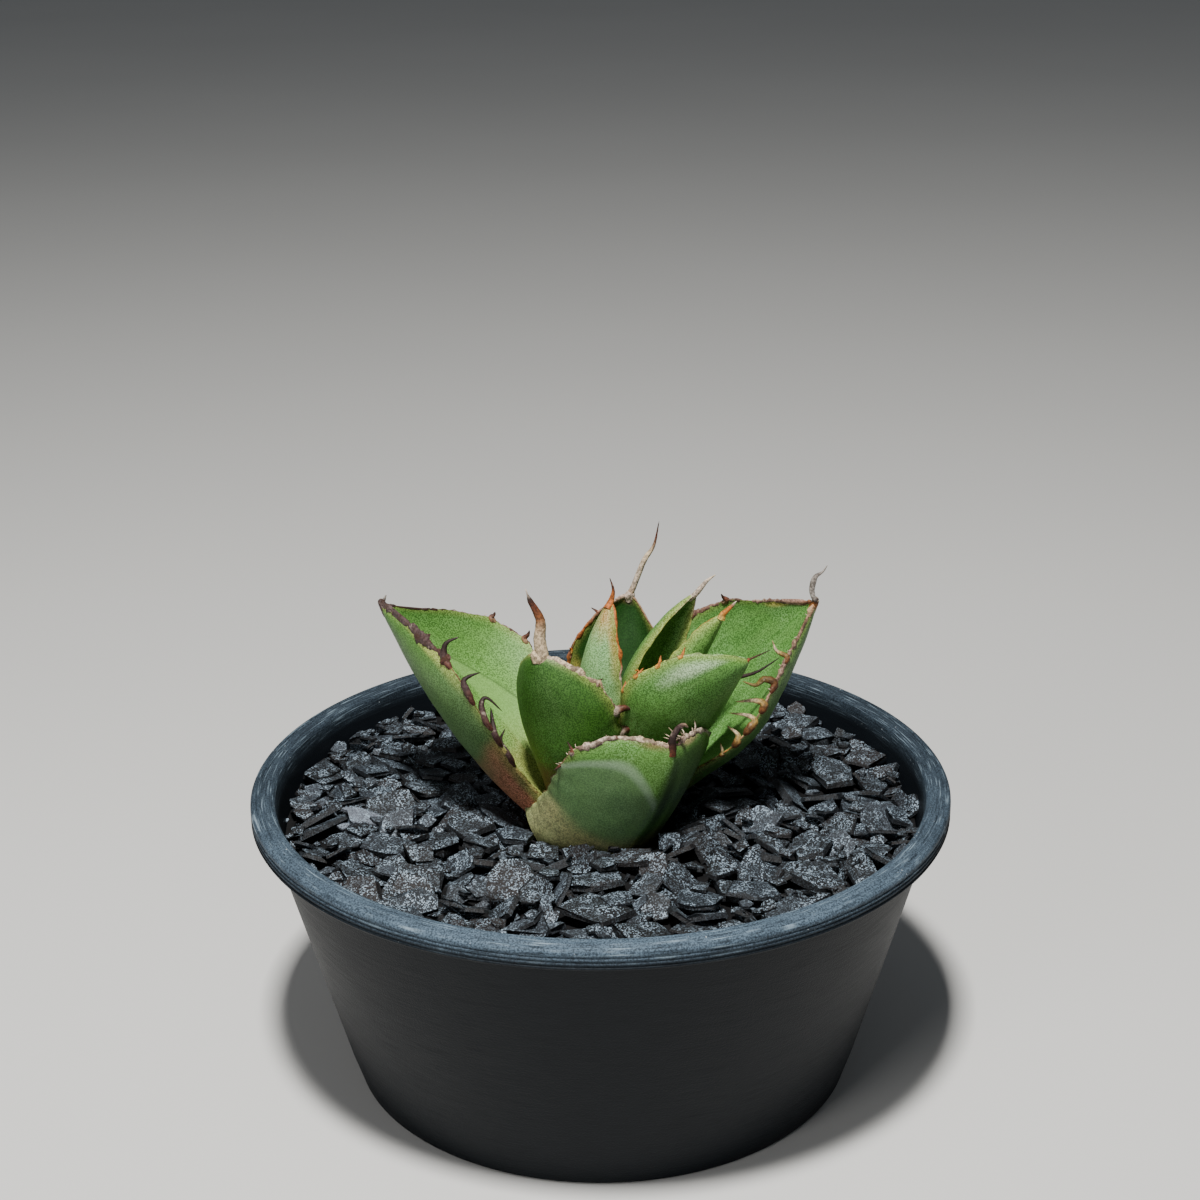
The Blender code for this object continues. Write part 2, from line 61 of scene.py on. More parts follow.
RIM_TOP = POT_HIGH.z / MM
POT_RADIUS = POT_HIGH.x / MM
print("pot", round(POT_RADIUS * 2, 1), "mm wide,", round(RIM_TOP, 1), "mm high")

# %% [markdown]
# ## Looking at it
#
# The plant is small, so it is seen from close by, a little above the rim.  A 65 mm lens keeps
# the far side of the rim from shrinking too much.  The camera stands straight in front and
# leans over by less than half a degree, as a camera held by hand does.

# %% Camera
TILT_DOWN = 20.63
LEAN = -0.48
ASIDE = 0.16
DISTANCE = 297.6
ABOVE_RIM = 140.5
eye = bpy.data.cameras.new("eye")
eye.lens = 65
eye.sensor_width = 36
eye.clip_start = 0.01
camera = bpy.data.objects.new("camera", eye)
bpy.context.scene.collection.objects.link(camera)
level = Matrix.Rotation(math.radians(90 - TILT_DOWN), 4, "X")
aim = level @ Matrix.Rotation(math.radians(LEAN), 4, "Z")
place = Vector((ASIDE, -DISTANCE, RIM_TOP + ABOVE_RIM)) * MM
camera.matrix_world = Matrix.Translation(place) @ aim
bpy.context.scene.camera = camera
print("camera at", [round(value, 3) for value in camera.matrix_world.translation])

# %% [markdown]
# ## Finishes as sums
#
# A finish is a small network of nodes.  Written node by node it is long and hard to read, so
# a node's output is wrapped in a class that knows plus, minus and times.  A sum on wires then
# adds its own Math nodes, and one function adds any other node.

# %% A wire that can be added up
class Wire:
    """The output of a node, used in sums as if it were a number."""

    def __init__(self, tree, socket):
        self.tree = tree
        self.socket = socket

    def sum(self, operation, *terms):
        return add_node(self.tree, "ShaderNodeMath", {"operation": operation}, dict(enumerate(terms)))

    def __add__(self, other):
        return self.sum("ADD", self, other)

    def __sub__(self, other):
        return self.sum("SUBTRACT", self, other)

    def __rsub__(self, other):
        return self.sum("SUBTRACT", other, self)

    def __mul__(self, other):
        return self.sum("MULTIPLY", self, other)

    def __truediv__(self, other):
        return self.sum("DIVIDE", self, other)

    def __pow__(self, other):
        return self.sum("POWER", self, other)

    __radd__ = __add__
    __rmul__ = __mul__

    def size(self):
        return self.sum("ABSOLUTE", self)

    def rise(self, low, high):
        """0 below low, 1 above high and a soft step between; high may be the lower one."""
        return add_node(self.tree, "ShaderNodeMapRange", {"interpolation_type": "SMOOTHSTEP"},
                        {"Value": self, "From Min": low, "From Max": high})


def add_node(tree, kind, settings=None, inputs=None, output=0):
    """Add one node: its settings first, then the values or wires of its sockets."""
    node = tree.nodes.new(kind)
    for name, value in (settings or {}).items():
        setattr(node, name, value)
    for name, value in (inputs or {}).items():
        if isinstance(value, Wire):
            tree.links.new(value.socket, node.inputs[name])
        elif isinstance(value, (tuple, Vector)) and node.inputs[name].type == "RGBA":
            node.inputs[name].default_value = (*value[:3], 1.0)
        else:
            node.inputs[name].default_value = value
    return Wire(tree, node.outputs[output])


# %% Colours, noise and attributes
# The Mix node has one set of sockets for numbers and one for colours under the same names,
# so these are known by their order.
FACTOR, COLOR_A, COLOR_B, MIXED_COLOR = 0, 6, 7, 2


def mix(share, first, second, blend="MIX"):
    """Blend two colours by a wire's share."""
    tree = share.tree
    return add_node(tree, "ShaderNodeMix", {"data_type": "RGBA", "blend_type": blend},
                    {FACTOR: share, COLOR_A: first, COLOR_B: second}, MIXED_COLOR)


def place_of(tree):
    return add_node(tree, "ShaderNodeTexCoord", output="Object")


def split(vector):
    """The three parts of a vector, each on its own wire."""
    node = add_node(vector.tree, "ShaderNodeSeparateXYZ", {}, {"Vector": vector}).socket.node
    return [Wire(vector.tree, socket) for socket in node.outputs]


def join(x, y, z):
    return add_node(x.tree, "ShaderNodeCombineXYZ", {}, {"X": x, "Y": y, "Z": z})


def grain(tree, scale, detail=2.0, where=None, rough=0.5):
    """Soft noise between 0 and 1, at so many bumps a metre."""
    return add_node(tree, "ShaderNodeTexNoise", {},
                    {"Vector": where or place_of(tree), "Scale": scale, "Detail": detail,
                     "Roughness": rough})


def cells(tree, scale, output="Distance"):
    """Random cells: the distance to the middle of each, or its own Color."""
    return add_node(tree, "ShaderNodeTexVoronoi", {},
                    {"Vector": place_of(tree), "Scale": scale}, output)


def stored(tree, name, colour=False):
    """A value or colour kept on the mesh itself."""
    return add_node(tree, "ShaderNodeAttribute", {"attribute_name": name}, {},
                    "Color" if colour else "Fac")


def new_finish(name, roughness, specular=0.5):
    """An empty finish: its tree and its shader node, with what is the same all over."""
    material = bpy.data.materials.new(name)
    material.use_nodes = True
    tree = material.node_tree
    shader = tree.nodes["Principled BSDF"]
    shader.inputs["Roughness"].default_value = roughness
    shader.inputs["Specular IOR Level"].default_value = specular
    return material, tree, shader


def connect(shader, colour=None, roughness=None, height=None, depth=0.0001, strength=1.0):
    """Lead wires to the shader's colour, roughness and surface relief."""
    tree = shader.id_data
    if colour:
        tree.links.new(colour.socket, shader.inputs["Base Color"])
    if roughness:
        tree.links.new(roughness.socket, shader.inputs["Roughness"])
    if height:
        bump = add_node(tree, "ShaderNodeBump", {}, {"Height": height, "Distance": depth,
                                                     "Strength": strength})
        tree.links.new(bump.socket, shader.inputs["Normal"])


# %% [markdown]
# ## Floor and light
#
# A pale floor and two lamps stand in for a quiet studio: the key lamp hangs above and a little
# in front, and a weaker one stands lower at the front left.  The sky is a weak grey fill, so the shade
# under the leaves stays deep.

# %% Studio
def make_stage():
    bm = bmesh.new()
    bmesh.ops.create_grid(bm, x_segments=1, y_segments=1, size=6.0)
    mesh = bpy.data.meshes.new("floor")
    bm.to_mesh(mesh)
    bm.free()
    floor = bpy.data.objects.new("floor", mesh)
    bpy.context.scene.collection.objects.link(floor)
    material, tree, shader = new_finish("floor_paper", 0.9, 0.2)
    cloud = grain(tree, 5.0)
    connect(shader, mix(cloud, (0.66, 0.66, 0.65), (0.70, 0.70, 0.69)))
    mesh.materials.append(material)


def hang_lamp(name, place, size, power, colour):
    """A square lamp at a place in metres, turned to the middle of the pot's mouth."""
    lamp = bpy.data.lights.new(name, "AREA")
    lamp.size = size
    lamp.energy = power
    lamp.color = colour
    holder = bpy.data.objects.new(name, lamp)
    bpy.context.scene.collection.objects.link(holder)
    middle = Vector((0, 0, RIM_TOP * MM))
    turn = (middle - Vector(place)).to_track_quat("-Z", "Y").to_matrix().to_4x4()
    holder.matrix_world = Matrix.Translation(place) @ turn


make_stage()
hang_lamp("key_lamp", (-0.03, -0.21, 0.60), 0.06, 6.8, (1.0, 0.98, 0.94))
hang_lamp("front_lamp", (-0.30, -0.46, 0.30), 0.18, 0.8, (1.0, 0.98, 0.95))
sky = bpy.data.worlds.new("sky")
sky.use_nodes = True
sky.node_tree.nodes["Background"].inputs["Color"].default_value = (0.9, 0.95, 1.0, 1)
sky.node_tree.nodes["Background"].inputs["Strength"].default_value = 0.11
bpy.context.scene.world = sky
print("floor, two lamps and a sky")


# %% [markdown]
# ## From a bmesh to a piece
#
# Every piece ends the same way: faces turned outwards, a mesh, an object at the origin, a
# finish, and the parts of the solid model that it stands for hidden.

# %% Finish a piece
def make_piece(bm, name, materials, stands_for, crease=40):
    bmesh.ops.recalc_face_normals(bm, faces=bm.faces[:])
    mesh = bpy.data.meshes.new(name)
    bm.to_mesh(mesh)
    bm.free()
    for material in materials:
        mesh.materials.append(material)
    mesh.shade_smooth()
    mesh.set_sharp_from_angle(angle=math.radians(crease))
    piece = bpy.data.objects.new(name, mesh)
    bpy.context.scene.collection.objects.link(piece)
    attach(piece, "root")
    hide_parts(*stands_for)
    print(name, len(mesh.polygons), "faces")
    return piece


def smooth(share):
    """0 to 1 with soft ends."""
    share = min(max(share, 0.0), 1.0)
    return share * share * (3 - 2 * share)


def read_stops(stops, share):
    """A number or colour read along a list of (share, value) stops."""
    for (here, first), (there, second) in zip(stops, stops[1:]):
        if share <= there:
            between = min(max((share - here) / (there - here), 0), 1)
            if isinstance(first, tuple):
                return tuple(a + (b - a) * between for a, b in zip(first, second))
            return first + (second - first) * between
    return stops[-1][1]


# %% [markdown]
# ## The pot
#
# A nursery pot is blown or moulded from thin black plastic, so it is a turned shape: one
# outline spun round its axis.  The lip carries a few fine ridges left by the mould, which
# catch the light as thin rings.  They are part of the outline, not painted on.

# %% Pot outline
LIP_WIDTH = 3.7
LIP_DROP = 3.2
RIDGES = 3
RIDGE_DEPTH = 0.20
CROWN = 0.8
MOUTH_ROUND = 0.9
WALL = 1.3
FOOT_RADIUS = 38.5
FOOT_RING = 2.5
FOOT_ROUND = 0.8
FLOOR_LIFT = 1.2
FLOOR_TOP = 2.5
MOUTH_RADIUS = POT_RADIUS - LIP_WIDTH
SPIN_STEPS = 256


def lip_outline():
    """Radius and height along the lip, from under its outer skirt over the top to the mouth."""
    skirt = [(POT_RADIUS - 0.5, RIM_TOP - LIP_DROP), (POT_RADIUS - 0.12, RIM_TOP - LIP_DROP + 0.12)]
    for step in range(RIDGES * 8 + 1):
        share = step / (RIDGES * 8)
        wave = 0.5 - 0.5 * math.cos(math.tau * share * RIDGES)
        skirt.append((POT_RADIUS - RIDGE_DEPTH * wave, RIM_TOP - LIP_DROP + 0.35 + 1.9 * share))
    crown = []
    for step in range(1, 7):
        turn = math.radians(15 * step)
        crown.append((POT_RADIUS - CROWN + CROWN * math.cos(turn),
                      RIM_TOP - CROWN + 0.72 * math.sin(turn)))
    top = []
    for step in range(1, 31):
        share = step / 30
        outer_groove = math.exp(-((share - 0.12) / 0.06) ** 2) * 0.17
        inner_groove = math.exp(-((share - 0.34) / 0.05) ** 2) * 0.13
        height = RIM_TOP - 0.08 * (1 - share) - (outer_groove + inner_groove)
        top.append((POT_RADIUS - CROWN - (LIP_WIDTH - CROWN - MOUTH_ROUND) * share, height))
    mouth = []
    for step in range(1, 8):
        turn = math.radians(90 + 90 * step / 7)
        mouth.append((MOUTH_RADIUS + MOUTH_ROUND + MOUTH_ROUND * math.cos(turn),
                      RIM_TOP - MOUTH_ROUND + MOUTH_ROUND * math.sin(turn)))
    return skirt + crown + top + mouth


def wall_radius(height):
    """Outside radius of the tapered wall."""
    return FOOT_RADIUS + (MOUTH_RADIUS + WALL - FOOT_RADIUS) * min(height / (RIM_TOP - LIP_DROP), 1)


def pot_outline():
    under = RIM_TOP - LIP_DROP
    base = [(0, FLOOR_LIFT), (FOOT_RADIUS - FOOT_RING, FLOOR_LIFT), (FOOT_RADIUS - FOOT_RING, 0.2),
            (FOOT_RADIUS - FOOT_RING + 0.3, 0), (FOOT_RADIUS - FOOT_ROUND, 0)]
    for turn in (30, 60, 90):
        base.append((FOOT_RADIUS - FOOT_ROUND + FOOT_ROUND * math.sin(math.radians(turn)),
                     FOOT_ROUND - FOOT_ROUND * math.cos(math.radians(turn))))
    wall = [(wall_radius(under * share / 8), under * share / 8) for share in range(1, 9)]
    inner = [(wall_radius(under * share / 8) - WALL, under * share / 8) for share in range(7, 0, -1)]
    floor = [(wall_radius(FLOOR_TOP) - WALL - 0.5, FLOOR_TOP), (0, FLOOR_TOP)]
    return base + wall + lip_outline() + inner + floor


def build_pot(finish):
    bm = bmesh.new()
    corners = [bm.verts.new((radius * MM, 0, height * MM)) for radius, height in pot_outline()]
    edges = [bm.edges.new(pair) for pair in zip(corners, corners[1:])]
    bmesh.ops.spin(bm, geom=corners + edges, cent=(0, 0, 0), axis=(0, 0, 1),
                   angle=math.tau, steps=SPIN_STEPS, use_merge=True)
    bmesh.ops.remove_doubles(bm, verts=bm.verts[:], dist=0.001 * MM)
    make_piece(bm, "turned_pot", [finish], ["pot"], 60)


# %% [markdown]
# ### Black plastic that has stood outdoors
#
# The plastic is a cold blue-black.  Handling has rubbed it along its turning direction, and
# pale dust has settled on the lip.  The lip's pale blue-grey is partly that dust and partly
# painted sheen, and painted light makes it paler towards the front.  Scratches follow the
# ring, so their noise reads the direction from the axis on a small scale and the radius and
# height on a fine one.

# %% Plastic
def pot_plastic():
    material, tree, shader = new_finish("nursery_plastic", 0.5, 0.12)
    x, y, z = split(place_of(tree))
    radius = (x * x + y * y) ** 0.5
    ring = join(x / radius * 9.0, y / radius * 9.0, (radius + z * 0.9) * 5200.0)
    scratches = grain(tree, 1.0, 2.0, ring)
    fine = grain(tree, 4200.0, 1.0).rise(0.3, 0.7)
    cloud = grain(tree, 110.0, 3.0)
    # Painted light: the lip's top is painted paler towards the front, where the lamps' light falls
    # brightest.
    painted_front_light = y.rise(0.01, -0.05)
    specks = cells(tree, 900.0).rise(0.12, 0.05) * grain(tree, 160.0).rise(0.5, 0.62)
    top = z.rise((RIM_TOP - LIP_DROP) * MM, (RIM_TOP - 0.4) * MM)
    # Dust on the lip's top, painted paler and bluer than dust alone: partly real dust, partly painted
    # sheen.
    dust_and_sheen = (top * (0.42 + 0.75 * painted_front_light) + 0.012) * (0.3 + 0.7 * cloud) * (0.3 + 0.8 * fine)
    colour = mix(dust_and_sheen, (0.004, 0.0055, 0.0075), (0.12, 0.175, 0.235))
    colour = mix(scratches.rise(0.44, 0.32) * 0.5, colour, (0.003, 0.004, 0.006))
    colour = mix(scratches.rise(0.56, 0.74) * 0.5 * top, colour, (0.32, 0.42, 0.50))
    colour = mix(specks * top * 0.8, colour, (0.55, 0.60, 0.64))
    connect(shader, colour, 0.62 - scratches * 0.22 + dust_and_sheen * 0.2, scratches * 0.6 + fine * 0.5,
            0.00006, 0.6)
    return material


build_pot(pot_plastic())

# %% [markdown]
# ## What fills the pot
#
# The soil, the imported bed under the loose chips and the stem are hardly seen.  Their solids
# already have the right shape, so they stay and only get a finish: crumbly brown for the
# soil, near black grit for the bed and dry bark for the stem.

# %% Soil, bed and stem
def crumbly(name, dark, light, scale):
    material, tree, shader = new_finish(name, 0.95, 0.2)
    lumps = cells(tree, scale)
    fine = grain(tree, scale * 3.0, 3.0)
    connect(shader, mix(lumps * 0.6 + fine * 0.5, dark, light), None, lumps + fine * 0.6, 0.0006)
    return material


def dress(node, material):
    """Give a solid that stays its finish."""
    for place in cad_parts[node].material_slots:
        place.material = material


dress("potting_soil", crumbly("crumbly_soil", (0.02, 0.012, 0.007), (0.09, 0.055, 0.03), 900.0))
dress("gravel_bed", crumbly("slate_grit", (0.002, 0.002, 0.002), (0.008, 0.008, 0.009), 700.0))
dress("stem_and_roots", crumbly("dry_bark", (0.05, 0.03, 0.016), (0.22, 0.16, 0.09), 1100.0))
print("soil, bed and stem dressed")

# %% [markdown]
# ## The leaves as a rule
#
# An agave leaf is a thick trough.  Its midline is a gentle curve through three points, its
# width follows one outline, and across the leaf the upper face is an arc.  Underneath, a keel
# runs down the middle.  With this rule a leaf needs about twenty numbers: places and sizes in
# millimetres from the middle of the pot's mouth, angles in degrees, and shares.  The plain
# solid that a fine leaf replaces follows nearly the same rule.

# %% Colours of the plant
FRESH = (0.17, 0.38, 0.075)
LIT = (0.115, 0.30, 0.055)
GREEN = (0.066, 0.20, 0.022)
KEEL_GREEN = (0.105, 0.29, 0.045)
DULL_GREEN = (0.095, 0.20, 0.062)
# Painted shade: a near black green for a leaf face or keel that lies in shade.
PAINTED_SHADE_GREEN = (0.008, 0.052, 0.004)
SHADY = (0.036, 0.115, 0.012)
YELLOW_GREEN = (0.42, 0.47, 0.11)
PALE_GREEN = (0.29, 0.56, 0.22)
# A painted highlight: the pale sheen of light on a lit ridge.
PAINTED_HIGHLIGHT = (0.46, 0.64, 0.38)
BLUSH = (0.70, 0.23, 0.15)
MAROON = (0.10, 0.026, 0.018)
STRAW = (0.31, 0.26, 0.085)
PALE_STRAW = (0.76, 0.64, 0.25)
CREAM = (0.72, 0.56, 0.36)
TAN = (0.46, 0.29, 0.16)
PINK_TAN = (0.42, 0.26, 0.20)
WHITE_TAN = (0.66, 0.53, 0.42)
ORANGE = (0.60, 0.21, 0.03)
RUST = (0.50, 0.15, 0.03)
BURNT = (0.24, 0.085, 0.028)
YELLOW = (0.72, 0.55, 0.12)
RED_BROWN = (0.14, 0.040, 0.018)
DARK = (0.022, 0.012, 0.010)
PLUM = (0.085, 0.050, 0.048)
GREY = (0.20, 0.17, 0.15)
ASH = (0.50, 0.45, 0.40)

# %% Leaf shapes
# shoulder is the width at the base against the greatest one, broadest where that lies, and
# point how fast the tip narrows.  cup is half the angle of the trough, roll turns the leaf
# about its midline and twist adds to it along the way; face is where the upper side looks,
# or None for inwards and up.  fold says how far the keel is pinched to an edge at the tip, and
# ridge turns the trough into two planes.  inner and outer are the colours of the two faces,
# foot the colour at the base and how far up the leaf it reaches, and end a colour towards the
# tip, where it starts and how strong it is.
LEAVES = {
    "leaf_left": dict(
        base=(-5, -2.5, -4.5), middle=(-19, 1, 10), tip=(-32.5, 5, 26.5), width=34, cup=64,
        thick=4, roll=-6, twist=28, shoulder=0.42, broadest=0.6, point=1.24, face=None,
        fold=0.4, inner=FRESH, outer=DULL_GREEN, foot=(BLUSH, 0.43), end=(GREEN, 0.42, 0.9)),
    "leaf_right": dict(
        base=(5.5, 1.5, -3), middle=(20, 5, 10), tip=(32, 1.5, 27.5), width=29.5, cup=57,
        thick=4, roll=17, twist=-6, shoulder=0.46, broadest=0.55, point=1.27, face=None,
        fold=0.4, inner=LIT, outer=GREEN, foot=(STRAW, 0.16)),
    "leaf_front": dict(
        base=(-1.2, -5, -8), middle=(5, -12.3, 0.6), tip=(10.2, -17.3, 12.8), width=27.5,
        cup=58, thick=5, roll=-3.5, twist=1.5, shoulder=0.9, broadest=0.66, point=0.3,
        face=None, fold=1.0, ridge=0.6, inner=LIT, outer=KEEL_GREEN, foot=(PALE_STRAW, 0.46)),
    "leaf_front_left": dict(
        base=(-3, -3, -2.5), middle=(-6, -7.5, 11.5), tip=(-9, -10, 23.8), width=18.6, cup=49,
        thick=4, roll=6, twist=0, shoulder=0.59, broadest=0.55, point=0.66, face=None,
        fold=0.1, inner=LIT, outer=GREEN, foot=(MAROON, 0.34), end=(SHADY, 0.35, 0.85)),
    "leaf_front_right": dict(
        base=(7.5, -2, 3.5), middle=(12, -8.5, 14.4), tip=(21.3, -10.8, 23.2), width=18.7,
        cup=46, thick=4, roll=-31, twist=7, shoulder=0.55, broadest=0.53, point=0.8,
        face=None, fold=0.3, inner=LIT, outer=KEEL_GREEN, foot=(STRAW, 0.18)),
    "leaf_inner_left": dict(
        base=(1.7, 0, 4.5), middle=(-0.5, -3.5, 16), tip=(1.8, -1, 28.8), width=8.5, cup=50,
        thick=2.8, roll=0, twist=0, shoulder=0.7, broadest=0.4, point=0.8,
        face=(0.7, 0.7, 0.3), fold=0.3, inner=LIT, outer=PALE_GREEN, foot=(YELLOW_GREEN, 0.2)),
    # leaf_back's upper face is painted near black green: painted shade on a face that lies in shade.
    "leaf_back": dict(
        base=(1.5, 5, 4), middle=(2.5, 10, 13), tip=(4.8, 12.7, 24.6), width=16, cup=51,
        thick=3.5, roll=1.5, twist=1, shoulder=0.6, broadest=0.48, point=0.8,
        face=(-0.1, -1, 0.4), fold=0.3, inner=PAINTED_SHADE_GREEN, outer=GREEN, foot=(YELLOW_GREEN, 0.2)),
    "leaf_back_right": dict(
        base=(4.5, 3, 5), middle=(7.3, 4, 16.5), tip=(14.3, 1.6, 28.7), width=8, cup=74,
        thick=2.8, roll=-2.5, twist=3.5, shoulder=0.7, broadest=0.43, point=0.8,
        face=(0.5, -0.8, 0), fold=0.3, inner=KEEL_GREEN, outer=LIT, foot=(YELLOW_GREEN, 0.3)),
    "leaf_bud": dict(
        base=(6, 1, 6), middle=(12.6, -0.7, 18), tip=(18.2, -2, 26.9), width=5.5, cup=85,
        thick=2.2, roll=2, twist=0, shoulder=0.8, broadest=0.3, point=0.75,
        face=(-0.3, 0.8, 0.5), fold=0.3, inner=FRESH, outer=FRESH, foot=(YELLOW_GREEN, 0.3)),
    "leaf_low_back": dict(
        base=(3.5, 6, -4.5), middle=(9, 15, 2), tip=(13, 24.5, 9.5), width=22, cup=55,
        thick=4, roll=0, twist=0, shoulder=0.6, broadest=0.6, point=0.8, face=None,
        fold=0.5, inner=LIT, outer=GREEN, foot=(BLUSH, 0.25)),
    "leaf_low_back_left": dict(
        base=(-3, 5, -3), middle=(-9, 13, 4), tip=(-13.5, 22, 10.5), width=19, cup=55,
        thick=4, roll=0, twist=0, shoulder=0.6, broadest=0.6, point=0.8, face=None,
        fold=0.5, inner=LIT, outer=GREEN, foot=(BLUSH, 0.25)),
}
YOUNG = ("leaf_inner_left", "leaf_back", "leaf_back_right", "leaf_bud")
LAST_SHARE = 0.9985
print(len(LEAVES), "leaves described")


# %% The leaf rule
Midline = namedtuple("Midline", "spot along across up")


def outline_share(leaf, t):
    """Width at a share t of the length, against the greatest width."""
    if t < leaf["broadest"]:
        swell = 0.5 - 0.5 * math.cos(math.pi * t / leaf["broadest"])
        return leaf["shoulder"] + (1 - leaf["shoulder"]) * swell
    past = (t - leaf["broadest"]) / (1 - leaf["broadest"])
    return max(1 - past * past, 0) ** leaf["point"]


def leaf_frame(leaf, t):
    """Spot on the midline and the ways along, across and up from the upper face."""
    base = Vector(leaf["base"])
    tip = Vector(leaf["tip"])
    pull = 2 * Vector(leaf["middle"]) - (base + tip) / 2
    spot = base * (1 - t) ** 2 + pull * 2 * t * (1 - t) + tip * t * t
    along = ((pull - base) * (1 - t) + (tip - pull) * t).normalized()
    look = Vector(leaf["face"] or (-leaf["middle"][0], -leaf["middle"][1], 20))
    up = (look - along * along.dot(look)).normalized()
    turn = math.radians(leaf["roll"] + leaf["twist"] * (t - 0.5))
    up = Matrix.Rotation(turn, 3, along) @ up
    return Midline(spot, along, along.cross(up), up)


def half_width(leaf, t):
    """Half the width at a share of the length; the tip keeps a little."""
    return leaf["width"] / 2 * outline_share(leaf, min(t, LAST_SHARE)) + 0.05


def leaf_length(leaf):
    middle = Vector(leaf["middle"])
    return (middle - Vector(leaf["base"])).length + (Vector(leaf["tip"]) - middle).length


def margin_swell(leaf, t, side):
    """How far the margin stands out, in millimetres: a soft wave and a hump under each tooth."""
    swell = 0.14 * math.sin(t * 23 + side * 2) + 0.09 * math.sin(t * 61 + side)
    for tooth_side, tooth_t, *rest in TEETH.get(leaf["name"], []):
        if tooth_side == side:
            swell += 0.42 * math.exp(-((t - tooth_t) * leaf_length(leaf) / 1.3) ** 2)
    return swell


def leaf_point(leaf, t, s, under):
    """A point of either face: t from base to tip, s from margin to margin."""
    midline = leaf_frame(leaf, t)
    spot, across, up = midline.spot, midline.across, midline.up
    half = half_width(leaf, t)
    trough = math.radians(leaf["cup"]) * (1 - 0.15 * t)
    arc = half / trough
    edge = abs(s) ** 6
    swell = margin_swell(leaf, t, 1 if s > 0 else -1) * edge * min(half / 3, 1)
    angle = trough * s * (1 + swell / max(half, 1.5))
    reach = angle / trough
    keel = leaf["thick"] * (1 - 0.55 * t) * math.sqrt(max(1 - t ** 6, 0.02))
    power = 2.2 - leaf["fold"] * smooth(t * 1.1)
    depth = min(keel * (0.12 + 0.88 * (1 - abs(s) ** power)), half * 0.9 + 0.1)
    outward = up * math.cos(angle) - across * math.sin(angle)
    upper = spot + across * arc * math.sin(angle) + up * arc * (1 - math.cos(angle))
    planes = across * reach * math.sin(trough) + up * abs(reach) * (1 - math.cos(trough))
    upper = upper.lerp(spot + planes * arc, leaf.get("ridge", 0) * smooth(t * 1.4))
    point = upper - outward * depth if under else upper
    rough = noise.noise(point / 5.5) * 0.16 + noise.noise(point / 1.9) * 0.04
    return point + outward * rough * (1 - edge)


# %% [markdown]
# ## The blade
#
# A blade could be carved from a block, but its two faces are smooth sheets with a rule, so
# each starts as a flat grid that is laid onto the rule, and the two are bridged along their
# edges.  Every corner keeps where it lies on the leaf and its colour, for the finish to use.

# %% Blade
ROWS, COLUMNS = 100, 40
# Patches on a leaf: under or upper face, place (t, s), size (t, s), colour.  Most are stains; the painted
# light and shade among them are named at each leaf.
PATCHES = {
    "leaf_inner_left": [(True, 1.0, -0.3, 0.22, 1.2, RUST), (True, 0.84, -0.97, 0.26, 0.46, RUST)],
    "leaf_right": [(False, 0.88, -0.90, 0.05, 0.16, YELLOW)],
    "leaf_back": [(False, 0.98, -0.2, 0.05, 0.9, MAROON), (False, 0.25, -0.9, 0.3, 0.3, YELLOW)],
    "leaf_back_right": [(True, 0.12, 0.4, 0.16, 0.8, ORANGE), (True, 0.45, 0.8, 0.05, 0.2, YELLOW)],
    # leaf_front_right: a yellow stain at the base, and a pale patch high on the under face that is a
    # painted highlight on the lit ridge.
    "leaf_front_right": [(True, 0.20, 0.95, 0.25, 0.12, YELLOW), (True, 0.78, 0.74, 0.16, 0.16, PAINTED_HIGHLIGHT)],
    # leaf_left: the last patch lightens the base of the upper face, painted light over the shade that
    # falls there.
    "leaf_left": [(True, 0.78, -0.95, 0.16, 0.09, YELLOW_GREEN), (True, 0.10, -0.95, 0.3, 0.10, STRAW),
                  (False, 0.05, -0.5, 0.34, 0.8, YELLOW_GREEN)],
    # leaf_front: a darker stripe along the keel is painted shade, and the plane beside it is toned a
    # duller green.
    "leaf_front": [(True, 0.45, -0.55, 0.55, 0.40, DULL_GREEN), (True, 0.60, -0.10, 0.50, 0.11, PAINTED_SHADE_GREEN),
                   (True, 1.0, 0.45, 0.035, 0.6, RED_BROWN), (True, 0.99, -0.6, 0.03, 0.4, TAN)],
}


def skin_tint(leaf, t, s, under):
    """Colour of the skin before its fine speckle."""
    tint = Vector(leaf["outer"] if under else leaf["inner"])
    foot, reach = leaf["foot"]
    ragged = noise.noise(Vector((t * 9, s * 3, 1.0 if under else 4.0))) * 0.08
    stain = 1 - smooth((t + ragged - reach * 0.6) / (reach * 0.4))
    tint = tint.lerp(Vector(foot), stain * (0.95 if under else 0.25))
    if "end" in leaf:
        end, start, amount = leaf["end"]
        tint = tint.lerp(Vector(end), smooth((t - start) / (1 - start)) * amount)
    for face, t_spot, s_spot, t_size, s_size, patch in PATCHES.get(leaf["name"], []):
        away = math.hypot((t - t_spot) / t_size, (s - s_spot) / s_size)
        if under == face:
            tint = tint.lerp(Vector(patch), 1 - smooth(away + ragged * 3 - 0.2))
    inset = (1 - abs(s)) * half_width(leaf, t)
    glow = math.exp(-(inset / 0.8) ** 2) * (0.75 if leaf["name"] in YOUNG else 0.45)
    tint = tint.lerp(Vector(YELLOW_GREEN), glow)
    return tint * (1 + 0.16 * noise.noise(Vector((t * 5, s * 2.5, 7))))


